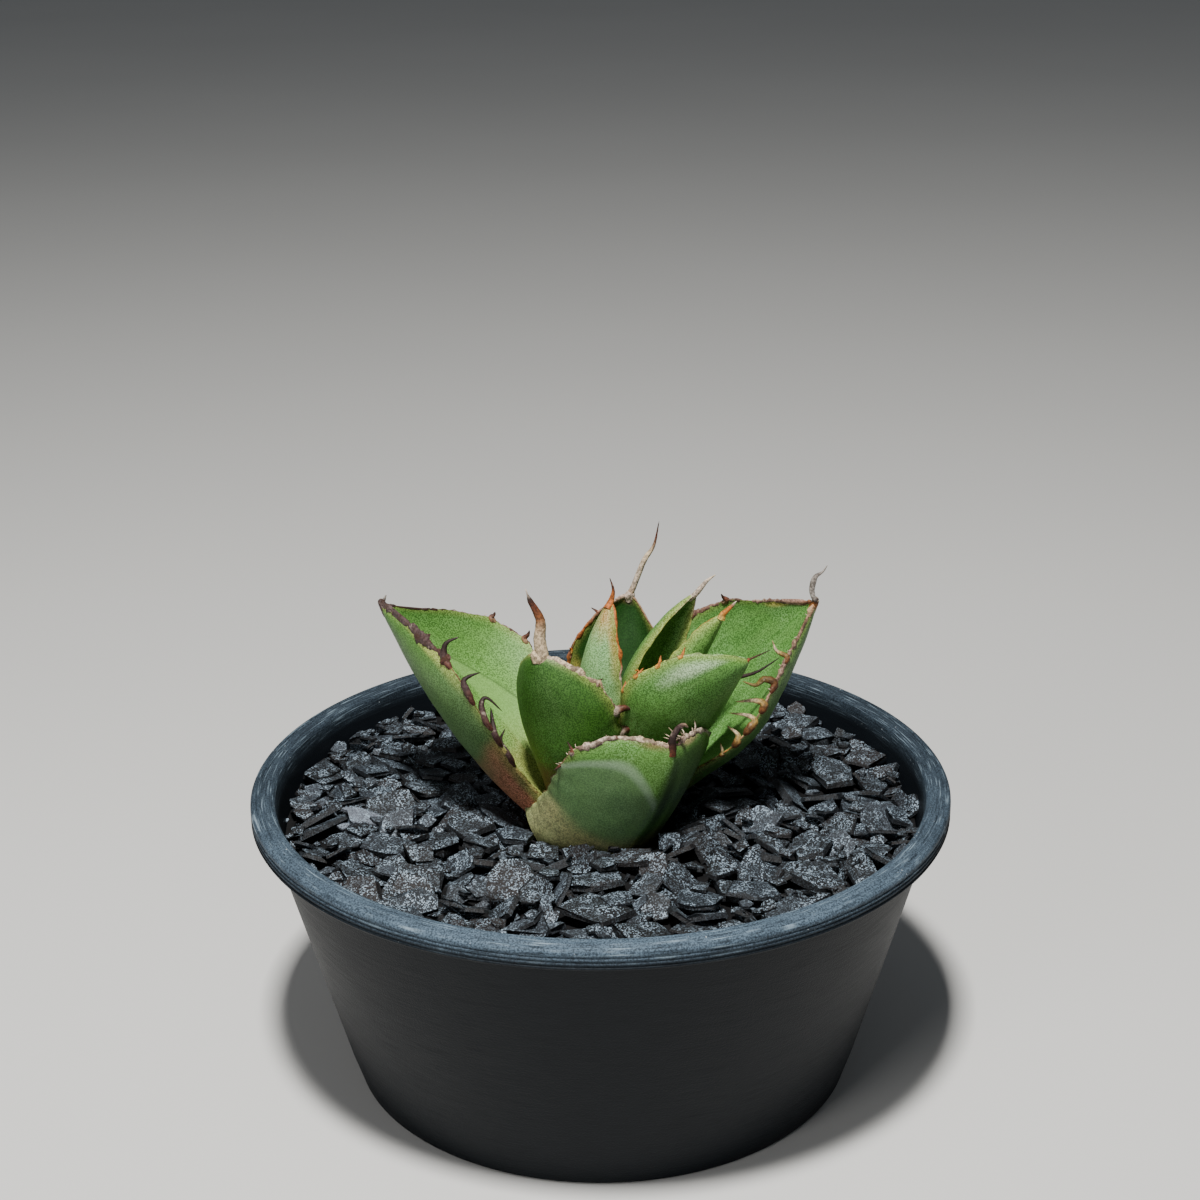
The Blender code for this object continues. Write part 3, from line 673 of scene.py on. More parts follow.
def lay_blade(bm, leaf):
    layers = bm.verts.layers
    for under in (False, True):
        made = bmesh.ops.create_grid(bm, x_segments=ROWS, y_segments=COLUMNS, size=1.0)
        for corner in made["verts"]:
            t = 1 - (1 - (corner.co.x + 1) / 2) ** 1.7
            s = math.sin(corner.co.y * math.pi / 2) * 0.35 + corner.co.y * 0.65
            corner[layers.float["reach"]] = t
            corner[layers.float["across"]] = s
            corner[layers.float["under"]] = float(under)
            corner[layers.float_color["tint"]] = (*skin_tint(leaf, t, s, under), 1.0)
            corner.co = leaf_point(leaf, t, s, under)
    rims = [edge for edge in bm.edges if edge.is_boundary]
    bmesh.ops.bridge_loops(bm, edges=rims)


def in_pot(bm):
    """From millimetres above the pot's mouth to metres above its foot."""
    bmesh.ops.scale(bm, vec=(MM, MM, MM), verts=bm.verts[:])
    bmesh.ops.translate(bm, vec=(0, 0, RIM_TOP * MM), verts=bm.verts[:])


# %% [markdown]
# ## Spines, teeth and cork
#
# The spine, the hooked teeth and the corky rim are all the same stuff: a dead, woody rod that
# follows a line and changes its thickness and colour on the way.  One tool makes them.  It
# rolls a grid into a tube, carries its frame along the line without twisting, and closes both
# ends to a point.

# %% A rod along a line
def smooth_line(points, count):
    """Evenly spread points on a smooth curve through the given ones."""
    knots = [Vector(point) for point in points]
    knots = [2 * knots[0] - knots[1]] + knots + [2 * knots[-1] - knots[-2]]
    spans = len(points) - 1
    result = []
    for step in range(count):
        place = step / (count - 1) * spans
        span = min(int(place), spans - 1)
        u = place - span
        a, b, c, d = knots[span:span + 4]
        result.append(0.5 * (2 * b + (c - a) * u + (2 * a - 5 * b + 4 * c - d) * u * u
                             + (3 * b - a - 3 * c + d) * u ** 3))
    return result


def heading_at(line, index):
    """The way a line runs past one of its points, not yet of length one."""
    return line[min(index + 1, len(line) - 1)] - line[max(index - 1, 0)]


def carry_frames(line, sideways):
    """Two directions square to the line at every point, turning as little as they can."""
    frames = []
    heading = (line[1] - line[0]).normalized()
    side = (sideways - heading * heading.dot(sideways)).normalized()
    for index in range(len(line)):
        ahead = heading_at(line, index)
        turn = heading.rotation_difference(ahead)
        side = (turn @ side).normalized()
        heading = ahead.normalized()
        frames.append((side, heading.cross(side)))
    return frames


def rod(bm, line, radii, tints, frames, flat=1.0, sides=9, rough=0.0, finish=1):
    """A closed rod: radii and tints are lists of (share, value) stops along it."""
    rings = len(line)
    made = bmesh.ops.create_grid(bm, x_segments=rings - 1, y_segments=sides, size=1.0)
    layers = bm.verts.layers
    for corner in made["verts"]:
        ring = round((corner.co.x + 1) / 2 * (rings - 1))
        turn = (corner.co.y + 1) * math.pi
        share = ring / (rings - 1)
        radius = read_stops(radii, share) if 0 < ring < rings - 1 else 0.0
        side, up = frames[ring]
        lift = side * math.cos(turn) * radius + up * math.sin(turn) * radius * flat
        spot = line[ring] + lift
        if rough:
            spot = spot + lift * rough * (noise.noise(spot / 0.55) + 0.7 * noise.noise(spot / 0.22))
        corner[layers.float_color["tint"]] = (*read_stops(tints, share), 1.0)
        corner[layers.float["reach"]] = share
        corner[layers.float["scab"]] = rough
        corner.co = spot
    for face in {face for corner in made["verts"] for face in corner.link_faces}:
        face.material_index = finish
    bmesh.ops.remove_doubles(bm, verts=made["verts"], dist=0.0001)


# %% [markdown]
# ### Where the teeth stand
#
# Every tooth is its own: a side, a share of the length, the steps of its bend outwards,
# towards the tip and up from the face, its stoutness, how far its foot runs down the margin
# and its colours from foot to point.

# %% Teeth and spines
HOOK = [(0, RED_BROWN), (0.35, PLUM), (0.6, DARK), (1, DARK)]
HOOK_LIGHT = [(0, PLUM), (0.3, WHITE_TAN), (0.5, RED_BROWN), (1, DARK)]
GOLD = (0.40, 0.27, 0.07)
THORN = [(0, RED_BROWN), (0.3, (0.20, 0.09, 0.025)), (0.55, GOLD), (0.8, CREAM), (1, GOLD)]
OLIVE = [(0, RED_BROWN), (0.35, (0.10, 0.05, 0.012)), (0.7, (0.22, 0.15, 0.035)), (1, GOLD)]
AMBER = [(0, YELLOW), (0.5, ORANGE), (1, RUST)]
SMALL = [(0, TAN), (0.5, RED_BROWN), (1, DARK)]
TEETH = {
    "leaf_left": [
        (-1, 0.74, [(1.1, 1.5, 0.9), (2.3, 1.0, 2.6)], 0.50, 2.0, HOOK),
        (-1, 0.60, [(0.2, 1.7, 0.5), (0.8, 1.8, 1.4), (1.6, 1.1, 2.9)], 0.50, 2.2, HOOK),
        (-1, 0.49, [(0.3, 2.2, 1.1), (0.9, 2.2, 2.1), (1.4, -0.8, 2.2)], 0.45, 2.2, HOOK),
        (-1, 0.43, [(0.3, 1.9, 1.1), (0.6, 3.3, 2.1)], 0.45, 2.4, HOOK),
        (-1, 0.34, [(-0.2, 2.2, 0.7), (0.5, 3.1, 2.3)], 0.40, 2.4, HOOK),
        (1, 0.40, [(0.6, 0.2, 0.3), (1.2, 0.6, 0.8)], 0.35, 0.8, SMALL),
        (1, 0.56, [(0.7, 0.2, 0.3), (1.3, 0.6, 0.7)], 0.40, 1.0, SMALL),
        (1, 0.70, [(0.5, 0.2, 0.2), (0.9, 0.5, 0.5)], 0.40, 1.0, SMALL)],
    "leaf_right": [
        (1, 0.85, [(0.5, -0.1, 1.6), (0.6, 0.7, 3.2)], 0.40, 1.0, THORN),
        (1, 0.77, [(0.5, -0.3, 1.5), (1.1, -1.7, 1.8), (1.8, -2.4, 3.6)], 0.55, 1.6, OLIVE),
        (1, 0.69, [(0.3, -0.1, 1.3), (1.4, -2.1, 3.4)], 0.60, 1.6, THORN),
        (1, 0.58, [(-0.4, 1.4, 0.2), (-0.3, 1.3, 1.5), (0.4, -0.3, 3.8)], 0.60, 1.8, THORN),
        (1, 0.49, [(-0.3, 0.9, 0.8), (-0.2, 0.7, 2.8)], 0.55, 1.5, THORN),
        (1, 0.39, [(-0.2, 0.9, 1.4)], 0.35, 0.9, THORN),
        (-1, 0.45, [(0.7, 0.2, 0.3), (1.3, 0.4, 0.8)], 0.40, 1.0, SMALL),
        (-1, 0.60, [(0.7, 0.2, 0.4), (1.4, 0.5, 0.8)], 0.40, 1.0, SMALL),
        (-1, 0.74, [(0.6, 0.2, 0.3), (1.2, 0.6, 0.7)], 0.40, 1.0, SMALL)],
    "leaf_front_left": [
        (-1, 0.58, [(1.3, 0, 0.1), (2.6, -0.5, -0.2)], 0.60, 1.0, HOOK_LIGHT),
        (-1, 0.43, [(1.4, 0.2, -0.1), (2.7, -0.1, -0.8)], 0.62, 1.0, HOOK_LIGHT),
        (-1, 0.78, [(0.9, 0.3, 0.4)], 0.30, 0.6, SMALL)],
    "leaf_front_right": [
        (-1, 0.79, [(1.8, 2.4, -1.5), (4.5, 5.9, -2.3)], 0.34, 0.5, HOOK),
        (-1, 0.55, [(0.6, 0.2, 0.2), (1.0, 0.4, 0.4)], 0.35, 0.8, SMALL),
        (1, 0.78, [(0.5, 1.2, 0.6)], 0.30, 0.5, AMBER),
        (1, 0.68, [(0.6, 1.0, 0.8)], 0.34, 0.6, AMBER),
        (1, 0.57, [(-0.1, 1.2, 0.9)], 0.34, 0.6, AMBER),
        (1, 0.46, [(0.4, 0.8, 0.8)], 0.32, 0.6, AMBER)],
    "leaf_front": [
        (1, 0.97, [(0.9, -1.0, 0)], 0.30, 0.6, HOOK_LIGHT),
        (1, 0.80, [(1.1, 0.8, 0.8)], 0.34, 0.8, HOOK_LIGHT),
        (1, 0.66, [(0.5, -0.7, -0.8)], 0.30, 0.6, HOOK_LIGHT),
        (-1, 0.70, [(0.8, 0.3, 0.5)], 0.32, 0.8, SMALL)],
    "leaf_back": [
        (-1, 0.86, [(0.6, 0.6, -0.9)], 0.30, 0.6, SMALL),
        (-1, 0.60, [(0.6, 0.4, 0.3)], 0.28, 0.6, AMBER),
        (1, 0.50, [(0.8, 0.3, 0.3)], 0.28, 0.6, AMBER),
        (1, 0.75, [(0.7, 0.4, 0.3)], 0.28, 0.6, AMBER)],
    "leaf_back_right": [
        (1, 0.70, [(0.5, 0.1, 0.2)], 0.22, 0.5, AMBER),
        (1, 0.35, [(0.6, 0.4, 0.2)], 0.24, 0.5, AMBER),
        (-1, 0.50, [(0.5, 0.2, 0.2)], 0.22, 0.5, AMBER)],
    "leaf_inner_left": [
        (-1, 0.45, [(0.5, 0.3, 0.2)], 0.24, 0.5, AMBER),
        (-1, 0.28, [(0.5, 0.2, 0.1)], 0.22, 0.5, AMBER)],
    "leaf_low_back": [
        (1, 0.45, [(0.7, 0.2, 0.4), (1.4, 0.3, 0.8)], 0.40, 1.0, HOOK),
        (1, 0.65, [(0.8, 0.2, 0.4), (1.5, 0.4, 0.9)], 0.40, 1.0, HOOK),
        (-1, 0.50, [(0.7, 0.2, 0.4), (1.4, 0.3, 0.8)], 0.40, 1.0, HOOK),
        (-1, 0.70, [(0.7, 0.2, 0.4), (1.4, 0.4, 0.8)], 0.40, 1.0, HOOK)],
    "leaf_low_back_left": [
        (1, 0.50, [(0.7, 0.2, 0.4), (1.3, 0.3, 0.8)], 0.40, 1.0, HOOK),
        (1, 0.70, [(0.7, 0.2, 0.4), (1.3, 0.4, 0.8)], 0.40, 1.0, HOOK),
        (-1, 0.78, [(0.7, 0.2, 0.4), (1.3, 0.4, 0.8)], 0.40, 1.0, HOOK)],
}
# A spine: steps from the tip, stoutness stops and colours.
SPINES = {
    "leaf_left": ([(0.3, 0, 0.1), (0.8, 0, 1.2)], [(0, 0.7), (0.5, 0.5), (1, 0.08)],
                  [(0, PLUM), (0.6, DARK), (1, ASH)]),
    "leaf_right": ([(-0.3, 0, 0.4), (-0.6, 0.1, 1.7), (-0.2, -0.1, 3.7), (0.9, 0.1, 4.5), (1.6, 0, 5.6)],
                   [(0, 0.7), (0.35, 0.38), (0.6, 0.52), (0.8, 0.2), (1, 0.06)],
                   [(0, ORANGE), (0.2, DARK), (0.45, ASH), (0.75, GREY), (1, ASH)]),
    "leaf_front_left": ([(0.8, 0, -0.4), (0.5, 0, 2.4), (0.6, 0, 5.5), (-0.8, 0, 8.5), (-1.4, 0, 10.3)],
                        [(0, 0.6), (0.18, 1.0), (0.32, 1.08), (0.5, 0.98), (0.67, 0.76),
                         (0.83, 0.42), (0.9, 0.14), (1, 0.06)],
                        [(0, CREAM), (0.55, CREAM), (0.63, TAN), (0.69, BURNT), (0.77, RED_BROWN),
                         (0.85, DARK), (0.93, WHITE_TAN), (1, WHITE_TAN)]),
    "leaf_back": ([(-0.4, 0, -0.5), (0.4, 0, 1), (2.1, 0, 5.4), (3.6, 0, 7.9), (4.4, 0, 11.8)],
                  [(0, 0.7), (0.2, 0.75), (0.45, 0.55), (0.7, 0.46), (0.85, 0.24), (1, 0.05)],
                  [(0, WHITE_TAN), (0.34, WHITE_TAN), (0.42, TAN), (0.55, WHITE_TAN), (0.75, CREAM),
                   (0.88, RED_BROWN), (1, DARK)]),
    "leaf_inner_left": ([(0.3, 0, 1.6), (-0.2, 0, 3.5)], [(0, 0.7), (0.5, 0.34), (1, 0.05)],
                        [(0, RUST), (0.55, RUST), (0.75, RED_BROWN), (1, DARK)]),
    "leaf_back_right": ([(1.5, 0, 1.9), (2.9, 0, 3)], [(0, 0.5), (0.5, 0.42), (1, 0.06)],
                        [(0, WHITE_TAN), (0.7, WHITE_TAN), (1, CREAM)]),
    "leaf_bud": ([(1.2, 0, 1.2), (1.9, 0, 2)], [(0, 0.7), (0.5, 0.38), (1, 0.05)],
                 [(0, YELLOW), (0.4, ORANGE), (0.65, RUST), (0.85, WHITE_TAN), (1, WHITE_TAN)]),
    "leaf_front": ([(0.1, 0, 1.2), (0.9, 0.2, 2.6), (1.7, 0, 3.2), (2.3, 0.2, 2.7)],
                   [(0, 0.8), (0.3, 0.6), (0.7, 0.40), (1, 0.12)],
                   [(0, RED_BROWN), (0.3, DARK), (0.7, PLUM), (1, TAN)]),
    "leaf_front_right": ([(0.2, 0, 0.1), (3.2, 0, 1.5)], [(0, 0.4), (0.5, 0.24), (1, 0.05)],
                         [(0, RUST), (0.5, RED_BROWN), (1, DARK)]),
    "leaf_low_back": ([(0.5, 1, 1.6), (0.8, 1.2, 4)], [(0, 0.8), (0.5, 0.45), (1, 0.05)],
                      [(0, TAN), (0.5, RED_BROWN), (1, DARK)]),
    "leaf_low_back_left": ([(-0.4, 1, 1.5), (-0.6, 1.3, 3.6)], [(0, 0.8), (0.5, 0.45), (1, 0.05)],
                           [(0, TAN), (0.5, RED_BROWN), (1, DARK)]),
}
def both_sides(*strip):
    """The same strip of cork on either margin."""
    return [(side, *strip) for side in (1, -1)]


YOUNG_RIM = [(0, ORANGE), (0.2, YELLOW), (0.35, YELLOW_GREEN), (0.85, YELLOW_GREEN), (1, WHITE_TAN)]
# Cork on the margin: side, where it starts and ends, width, colours.  The way along the
# margin runs from 0 at the base to 1 at the end of the side and on to 2 at the spine.
CORK = {
    "leaf_left": [(-1, 0.70, 2.0, 1.3, [(0, RED_BROWN), (0.3, PLUM), (1, (0.11, 0.075, 0.07))]),
                  (-1, 0.12, 0.74, 0.36, [(0, YELLOW_GREEN), (0.5, STRAW), (1, RED_BROWN)]),
                  (1, 0.20, 2.0, 0.38, [(0, YELLOW_GREEN), (0.4, RED_BROWN), (0.7, WHITE_TAN),
                                        (0.75, DARK), (1, PLUM)])],
    "leaf_right": [(1, 0.68, 2.0, 1.0, [(0, TAN), (0.5, PINK_TAN), (0.9, TAN), (1, ORANGE)]),
                   (1, 0.20, 0.72, 0.42, [(0, YELLOW_GREEN), (0.4, RUST), (0.7, TAN), (1, TAN)]),
                   (-1, 0.25, 2.0, 0.72, [(0, YELLOW_GREEN), (0.3, RED_BROWN), (0.6, PINK_TAN),
                                          (0.9, PINK_TAN), (1, RUST)])],
    "leaf_front_left": [(-1, 0.72, 2.0, 0.85, [(0, TAN), (0.5, CREAM), (1, WHITE_TAN)]),
                        (-1, 0.20, 0.80, 0.5, [(0, RED_BROWN), (0.5, TAN), (1, CREAM)]),
                        (1, 0.30, 2.0, 0.34, [(0, RED_BROWN), (0.5, YELLOW_GREEN), (1, TAN)])],
    "leaf_front_right": [(1, 0.15, 2.0, 0.34, [(0, RUST), (0.4, YELLOW), (0.6, YELLOW_GREEN),
                                               (1, PALE_GREEN)]),
                         (-1, 0.15, 2.0, 0.36, [(0, RUST), (0.5, RED_BROWN), (1, TAN)])],
    "leaf_front": [(1, 0.74, 2.0, 0.85, [(0, BURNT), (0.3, WHITE_TAN), (0.8, CREAM), (1, PINK_TAN)]),
                   (1, 0.30, 0.78, 0.5, [(0, STRAW), (0.5, PLUM), (1, TAN)]),
                   (-1, 0.30, 2.0, 0.75, [(0, YELLOW_GREEN), (0.5, PALE_GREEN), (0.7, WHITE_TAN),
                                          (1, PINK_TAN)])],
    "leaf_back": [(-1, 0.15, 2.0, 0.7, [(0, YELLOW), (0.3, ORANGE), (0.5, RED_BROWN), (0.7, RUST),
                                        (1, WHITE_TAN)]),
                  (1, 0.15, 2.0, 0.36, [(0, YELLOW_GREEN), (0.5, RED_BROWN), (1, TAN)])],
    "leaf_inner_left": [(-1, 0.15, 2.0, 0.7, [(0, YELLOW), (0.35, YELLOW_GREEN), (0.5, WHITE_TAN),
                                              (0.6, RUST), (1, RUST)]),
                        (1, 0.15, 2.0, 0.34, [(0, YELLOW), (0.6, YELLOW_GREEN), (1, RUST)])],
    "leaf_back_right": both_sides(0.10, 2.0, 0.28, YOUNG_RIM),
    "leaf_bud": both_sides(0.10, 2.0, 0.26, [(0, YELLOW), (0.6, YELLOW_GREEN), (1, ORANGE)]),
    "leaf_low_back": both_sides(0.25, 2.0, 0.6, [(0, RED_BROWN), (1, TAN)]),
    "leaf_low_back_left": both_sides(0.25, 2.0, 0.6, [(0, RED_BROWN), (1, PINK_TAN)]),
}


# %% Follow the margin
Margin = namedtuple("Margin", "edge out along up")
CORK_STEP = 0.26
TOOTH_STOUTER = 1.22
SPINE_ROOT = 0.95


def margin_place(leaf, side, way):
    """Point of the margin with the directions out of the leaf, along it and up from its face."""
    if way <= 1:
        t, s, inner_t, inner_s = way, side, way, side * 0.93
    else:
        t, s, inner_t, inner_s = 1.0, side * (2 - way), 0.97, side * (2 - way)
    upper = leaf_point(leaf, t, s, False)
    edge = (upper + leaf_point(leaf, t, s, True)) / 2
    out = (upper - leaf_point(leaf, inner_t, inner_s, False)).normalized()
    midline = leaf_frame(leaf, t)
    up = (midline.up - out * midline.up.dot(out)).normalized()
    return Margin(edge, out, midline.along, up)


def margin_path(leaf, side, start, end):
    """Places on the margin, about one cork step apart."""
    dense = []
    for index in range(401):
        way = start + (end - start) * index / 400
        if 0.9 < way <= 1:
            way = 1 - (1 - way) ** 1.3
        dense.append(margin_place(leaf, side, way))
    path = [dense[0]]
    for place in dense[1:]:
        if (place.edge - path[-1].edge).length >= CORK_STEP:
            path.append(place)
    return path


def add_cork(bm, leaf, side, start, end, width, tints):
    """A rough flattened strip along the margin, thicker and thinner by turns."""
    path = margin_path(leaf, side, start, end)
    line = []
    for place in path:
        sway = noise.noise(place.edge / 1.1 + Vector((9, side, 0))) * 0.16
        line.append(place.edge - place.out * width * (0.2 + sway))
    frames = aim_frames(line, path)
    stops = []
    for index, place in enumerate(path):
        share = index / (len(path) - 1)
        ends = min(1, share * 9 + 0.15, (1 - share) * 14 + 0.35) ** 0.6
        swell = 1 + 0.8 * noise.noise(place.edge / 1.4 + Vector((0, 5, side)))
        stops.append((share, width / 2 * ends * swell))
    rough = 0.2 if leaf["name"] in YOUNG else 0.8
    rod(bm, line, stops, tints, frames, flat=0.5, sides=10, rough=rough)


def aim_frames(line, path):
    """Frames that keep their first direction pointing out of the leaf."""
    frames = []
    for index, place in enumerate(path):
        heading = heading_at(line, index).normalized()
        side = (place.out - heading * heading.dot(place.out)).normalized()
        frames.append((side, heading.cross(side)))
    return frames


def add_tooth(bm, leaf, side, t, steps, stout, foot, tints):
    edge, out, along, up = margin_place(leaf, side, t)
    back = margin_place(leaf, side, max(t - foot / leaf_length(leaf), 0.02)).edge
    points = [back - out * 0.25, edge - out * 0.12 + along * 0.1]
    points += [edge + out * step[0] + along * step[1] + up * step[2] for step in steps]
    line = smooth_line(points, 22)
    stout *= TOOTH_STOUTER
    radii = [(0, stout * 0.40), (0.16, stout * 0.95), (0.36, stout), (0.6, stout * 0.70),
             (0.85, stout * 0.34), (1, 0.05)]
    rod(bm, line, radii, tints, carry_frames(line, out), flat=0.85, sides=9, rough=0.18)


def add_spine(bm, leaf, steps, radii, tints):
    tip = Vector(leaf["tip"])
    midline = leaf_frame(leaf, SPINE_ROOT)
    root = (midline.spot + leaf_point(leaf, SPINE_ROOT, 0, True)) / 2
    line = smooth_line([root, tip] + [tip + Vector(step) for step in steps], 48)
    frames = carry_frames(line, midline.across)
    rod(bm, line, radii, tints, frames, flat=0.9, sides=12, rough=0.07)


# %% [markdown]
# ### Dry fibres
#
# Old cork frays.  Short bristles stand out of it here and there, and beside the spine of the
# front leaf a whole tuft of dry fibres has come loose.  They are the same rods, hair thin.

# %% Fibres
# side, where the tuft starts and ends on the margin, how many, shortest and longest.
FIBRES = {
    "leaf_front": [(-1, 0.975, 1.3, 14, (1.5, 3.2)), (1, 0.60, 1.9, 26, (0.3, 0.9))],
    "leaf_left": [(-1, 0.72, 1.9, 24, (0.2, 0.7)), (1, 0.55, 1.5, 14, (0.2, 0.6))],
    "leaf_right": [(1, 0.70, 1.9, 22, (0.2, 0.7)), (-1, 0.40, 1.6, 26, (0.2, 0.8))],
    "leaf_front_left": [(-1, 0.70, 1.9, 14, (0.2, 0.6))],
    "leaf_back": [(-1, 0.40, 1.8, 12, (0.2, 0.6))],
}


def add_fibres(bm, leaf, side, start, end, count, lengths, luck):
    for number in range(count):
        edge, out, along, up = margin_place(leaf, side, luck.uniform(start, end))
        length = luck.uniform(*lengths)
        lean = Vector([luck.uniform(-0.7, 0.7) for direction in "xyz"])
        way = (out + up * 0.5 + lean).normalized()
        curl = (lean.cross(way)).normalized() * luck.uniform(0.1, 0.4)
        end_point = edge + (way + curl) * length
        line = smooth_line([edge - out * 0.3, edge + way * length * 0.45, end_point], 7)
        thin = min(0.07 + length * 0.03, 0.16)
        rod(bm, line, [(0, thin), (1, thin * 0.4)], [(0, TAN), (0.5, WHITE_TAN), (1, CREAM)],
            carry_frames(line, along), sides=5)


# %% [markdown]
# ### Skin and horn
#
# Agave skin is dull and looks powdered: a pale wax lies on it in grains about a fifth of a
# millimetre across.  So the finish takes each corner's own colour, breaks it up with fine
# light and dark grains, lets the wax lie thicker in clouds and adds faint streaks along the
# leaf.  On leaf_front a neighbour pressed against the leaf in the bud, and its edge is still
# there as a pale line with a darker field below it.  leaf_left carries a dark line across its
# upper face with a lighter field below it.  Each line is a curve over the place on the leaf,
# not a picture.

# %% Skin
def leaf_skin(name, wax=0.25, line_marks=()):
    """Skin with wax and marked lines across the leaf.

    A mark is on the under face (1) or the upper (0).  It crosses s = middle at t = height
    and runs from s = low to high with a slope and a bend.  line and field are its colours,
    length turns a share of the leaf into the unit of its width.
    """
    material, tree, shader = new_finish(name, 0.52, 0.35)
    reach = stored(tree, "reach")
    across = stored(tree, "across")
    under = stored(tree, "under")
    tint = stored(tree, "tint", colour=True)
    fine = grain(tree, 5200.0, 1.0)
    cloud = grain(tree, 170.0, 3.0)
    wide = grain(tree, 60.0, 2.0)
    colour = mix((1.0 - fine.rise(0.40, 0.58)) * 0.62, tint, (0.0, 0.02, 0.0))
    wax_share = (0.25 + 0.75 * cloud.rise(0.35, 0.7)) * fine.rise(0.45, 0.66) * wax
    colour = mix(wax_share, colour, (0.34, 0.50, 0.32))
    colour = mix(wide.rise(0.4, 0.65) * wax * 0.5, colour, (0.24, 0.42, 0.09))
    veins = grain(tree, 1.0, 3.0, join(reach * 1.6, across * 7.0, under * 5.0))
    colour = mix(veins.rise(0.45, 0.68) * wax * 0.35, colour, (0.30, 0.50, 0.18))
    colour = mix(veins.rise(0.46, 0.32) * wax * 0.4, colour, (0.02, 0.09, 0.01))
    pits = cells(tree, 800.0).rise(0.12, 0.06) * grain(tree, 95.0).rise(0.55, 0.66)
    colour = mix(pits * 0.3, colour, (0.03, 0.06, 0.02))
    flecks = grain(tree, 1900.0, 3.0).rise(0.53, 0.62) * reach.rise(0.46, 0.22) * under
    colour = mix(flecks * 0.6, colour, (0.10, 0.035, 0.012))
    for mark in line_marks:
        away = across - mark["middle"]
        curve = reach - (mark["height"] + away * mark["slope"] + away * away * mark["bend"])
        on_face = (under - (1.0 - mark["under"])).size()
        on_face *= across.rise(mark["low"] - 0.04, mark["low"])
        on_face *= across.rise(mark["high"] + 0.04, mark["high"])
        distance = curve * mark["length"]
        line = distance.size().rise(mark["width"], mark["width"] * 0.15) * on_face
        inside = distance.rise(0.5, -0.7) * on_face
        colour = mix(inside * 0.45, colour, mark["field"])
        colour = mix(line * 0.5 * (0.5 + fine), colour, mark["line"])
    connect(shader, colour, 0.60 - fine * 0.14, fine * 0.5 + cloud * 0.5, 0.00004, 0.5)
    return material


def horn_finish():
    material, tree, shader = new_finish("woody_horn", 0.6, 0.3)
    tint = stored(tree, "tint", colour=True)
    fine = grain(tree, 2400.0, 3.0, rough=0.7)
    streak = grain(tree, 900.0, 2.0)
    scab = stored(tree, "scab") * grain(tree, 620.0, 4.0).rise(0.49, 0.57)
    colour = mix((1.0 - fine.rise(0.40, 0.60)) * 0.62, tint, (0.012, 0.006, 0.004))
    colour = mix(scab * 0.85, colour, (0.055, 0.026, 0.016))
    colour = mix(streak.rise(0.62, 0.74) * 0.35, colour, (0.55, 0.45, 0.36))
    connect(shader, colour, 0.45 + fine * 0.3, fine + streak * 0.6, 0.00012, 0.8)
    return material


HORN = horn_finish()
PLAIN_SKIN = leaf_skin("waxy_skin")
SKINS = {
    "leaf_left": leaf_skin("left_skin", 0.16, [dict(
        under=0.0, middle=0.43, height=0.62, slope=-1.13, bend=0, low=0.30, high=0.95,
        line=(0.04, 0.09, 0.02), field=(0.24, 0.45, 0.12), length=14.0, width=0.26)]),
    "leaf_front": leaf_skin("front_skin", 0.34, [dict(
        under=1.0, middle=0.5, height=0.85, slope=0.0, bend=-0.75, low=0.02, high=1.0,
        line=(0.36, 0.48, 0.34), field=(0.15, 0.24, 0.14), length=22.0, width=1.1)]),
    "leaf_inner_left": leaf_skin("inner_skin", 0.36),
    "leaf_front_left": leaf_skin("upright_skin", 0.10),
    # leaf_back's skin gets very little wax, so the painted shade on its upper face stays dark.
    "leaf_back": leaf_skin("back_skin_painted_shade", 0.03),
}


# %% Grow the leaves
def grow_leaf(name):
    leaf = LEAVES[name]
    leaf["name"] = name
    bm = bmesh.new()
    bm.verts.layers.float_color.new("tint")
    for layer in ("reach", "across", "under", "scab"):
        bm.verts.layers.float.new(layer)
    lay_blade(bm, leaf)
    for strip in CORK.get(name, []):
        add_cork(bm, leaf, *strip)
    for tooth in TEETH.get(name, []):
        add_tooth(bm, leaf, *tooth)
    add_spine(bm, leaf, *SPINES[name])
    luck = random.Random(name)
    for tuft in FIBRES.get(name, []):
        add_fibres(bm, leaf, *tuft, luck)
    in_pot(bm)
    return make_piece(bm, "grown_" + name, [SKINS.get(name, PLAIN_SKIN), HORN], [name], 70)


grown = [grow_leaf(name) for name in LEAVES]

# %% [markdown]
# ## Slate chips
#
# The top dressing is broken slate: flat, sharp splinters 1.5 to 13 mm long that lie every
# way.  A physics run could drop them, but a height map does a like job in seconds and always
# in the same way: each chip tries several places, comes to rest on what lies there already,
# and takes the place where it would lie lowest.  A leaning chip sinks a little between its
# neighbours.  None may reach up into the leaves or out into the wall.

# %% One splinter
dice = random.Random(7)
CHIP_SHAPES = 14
CHIP_THICK = 0.12
CHIP_MIDDLE = 0.08
SHARP_ANGLE = 0.8
BROKEN_EDGE = 0.006


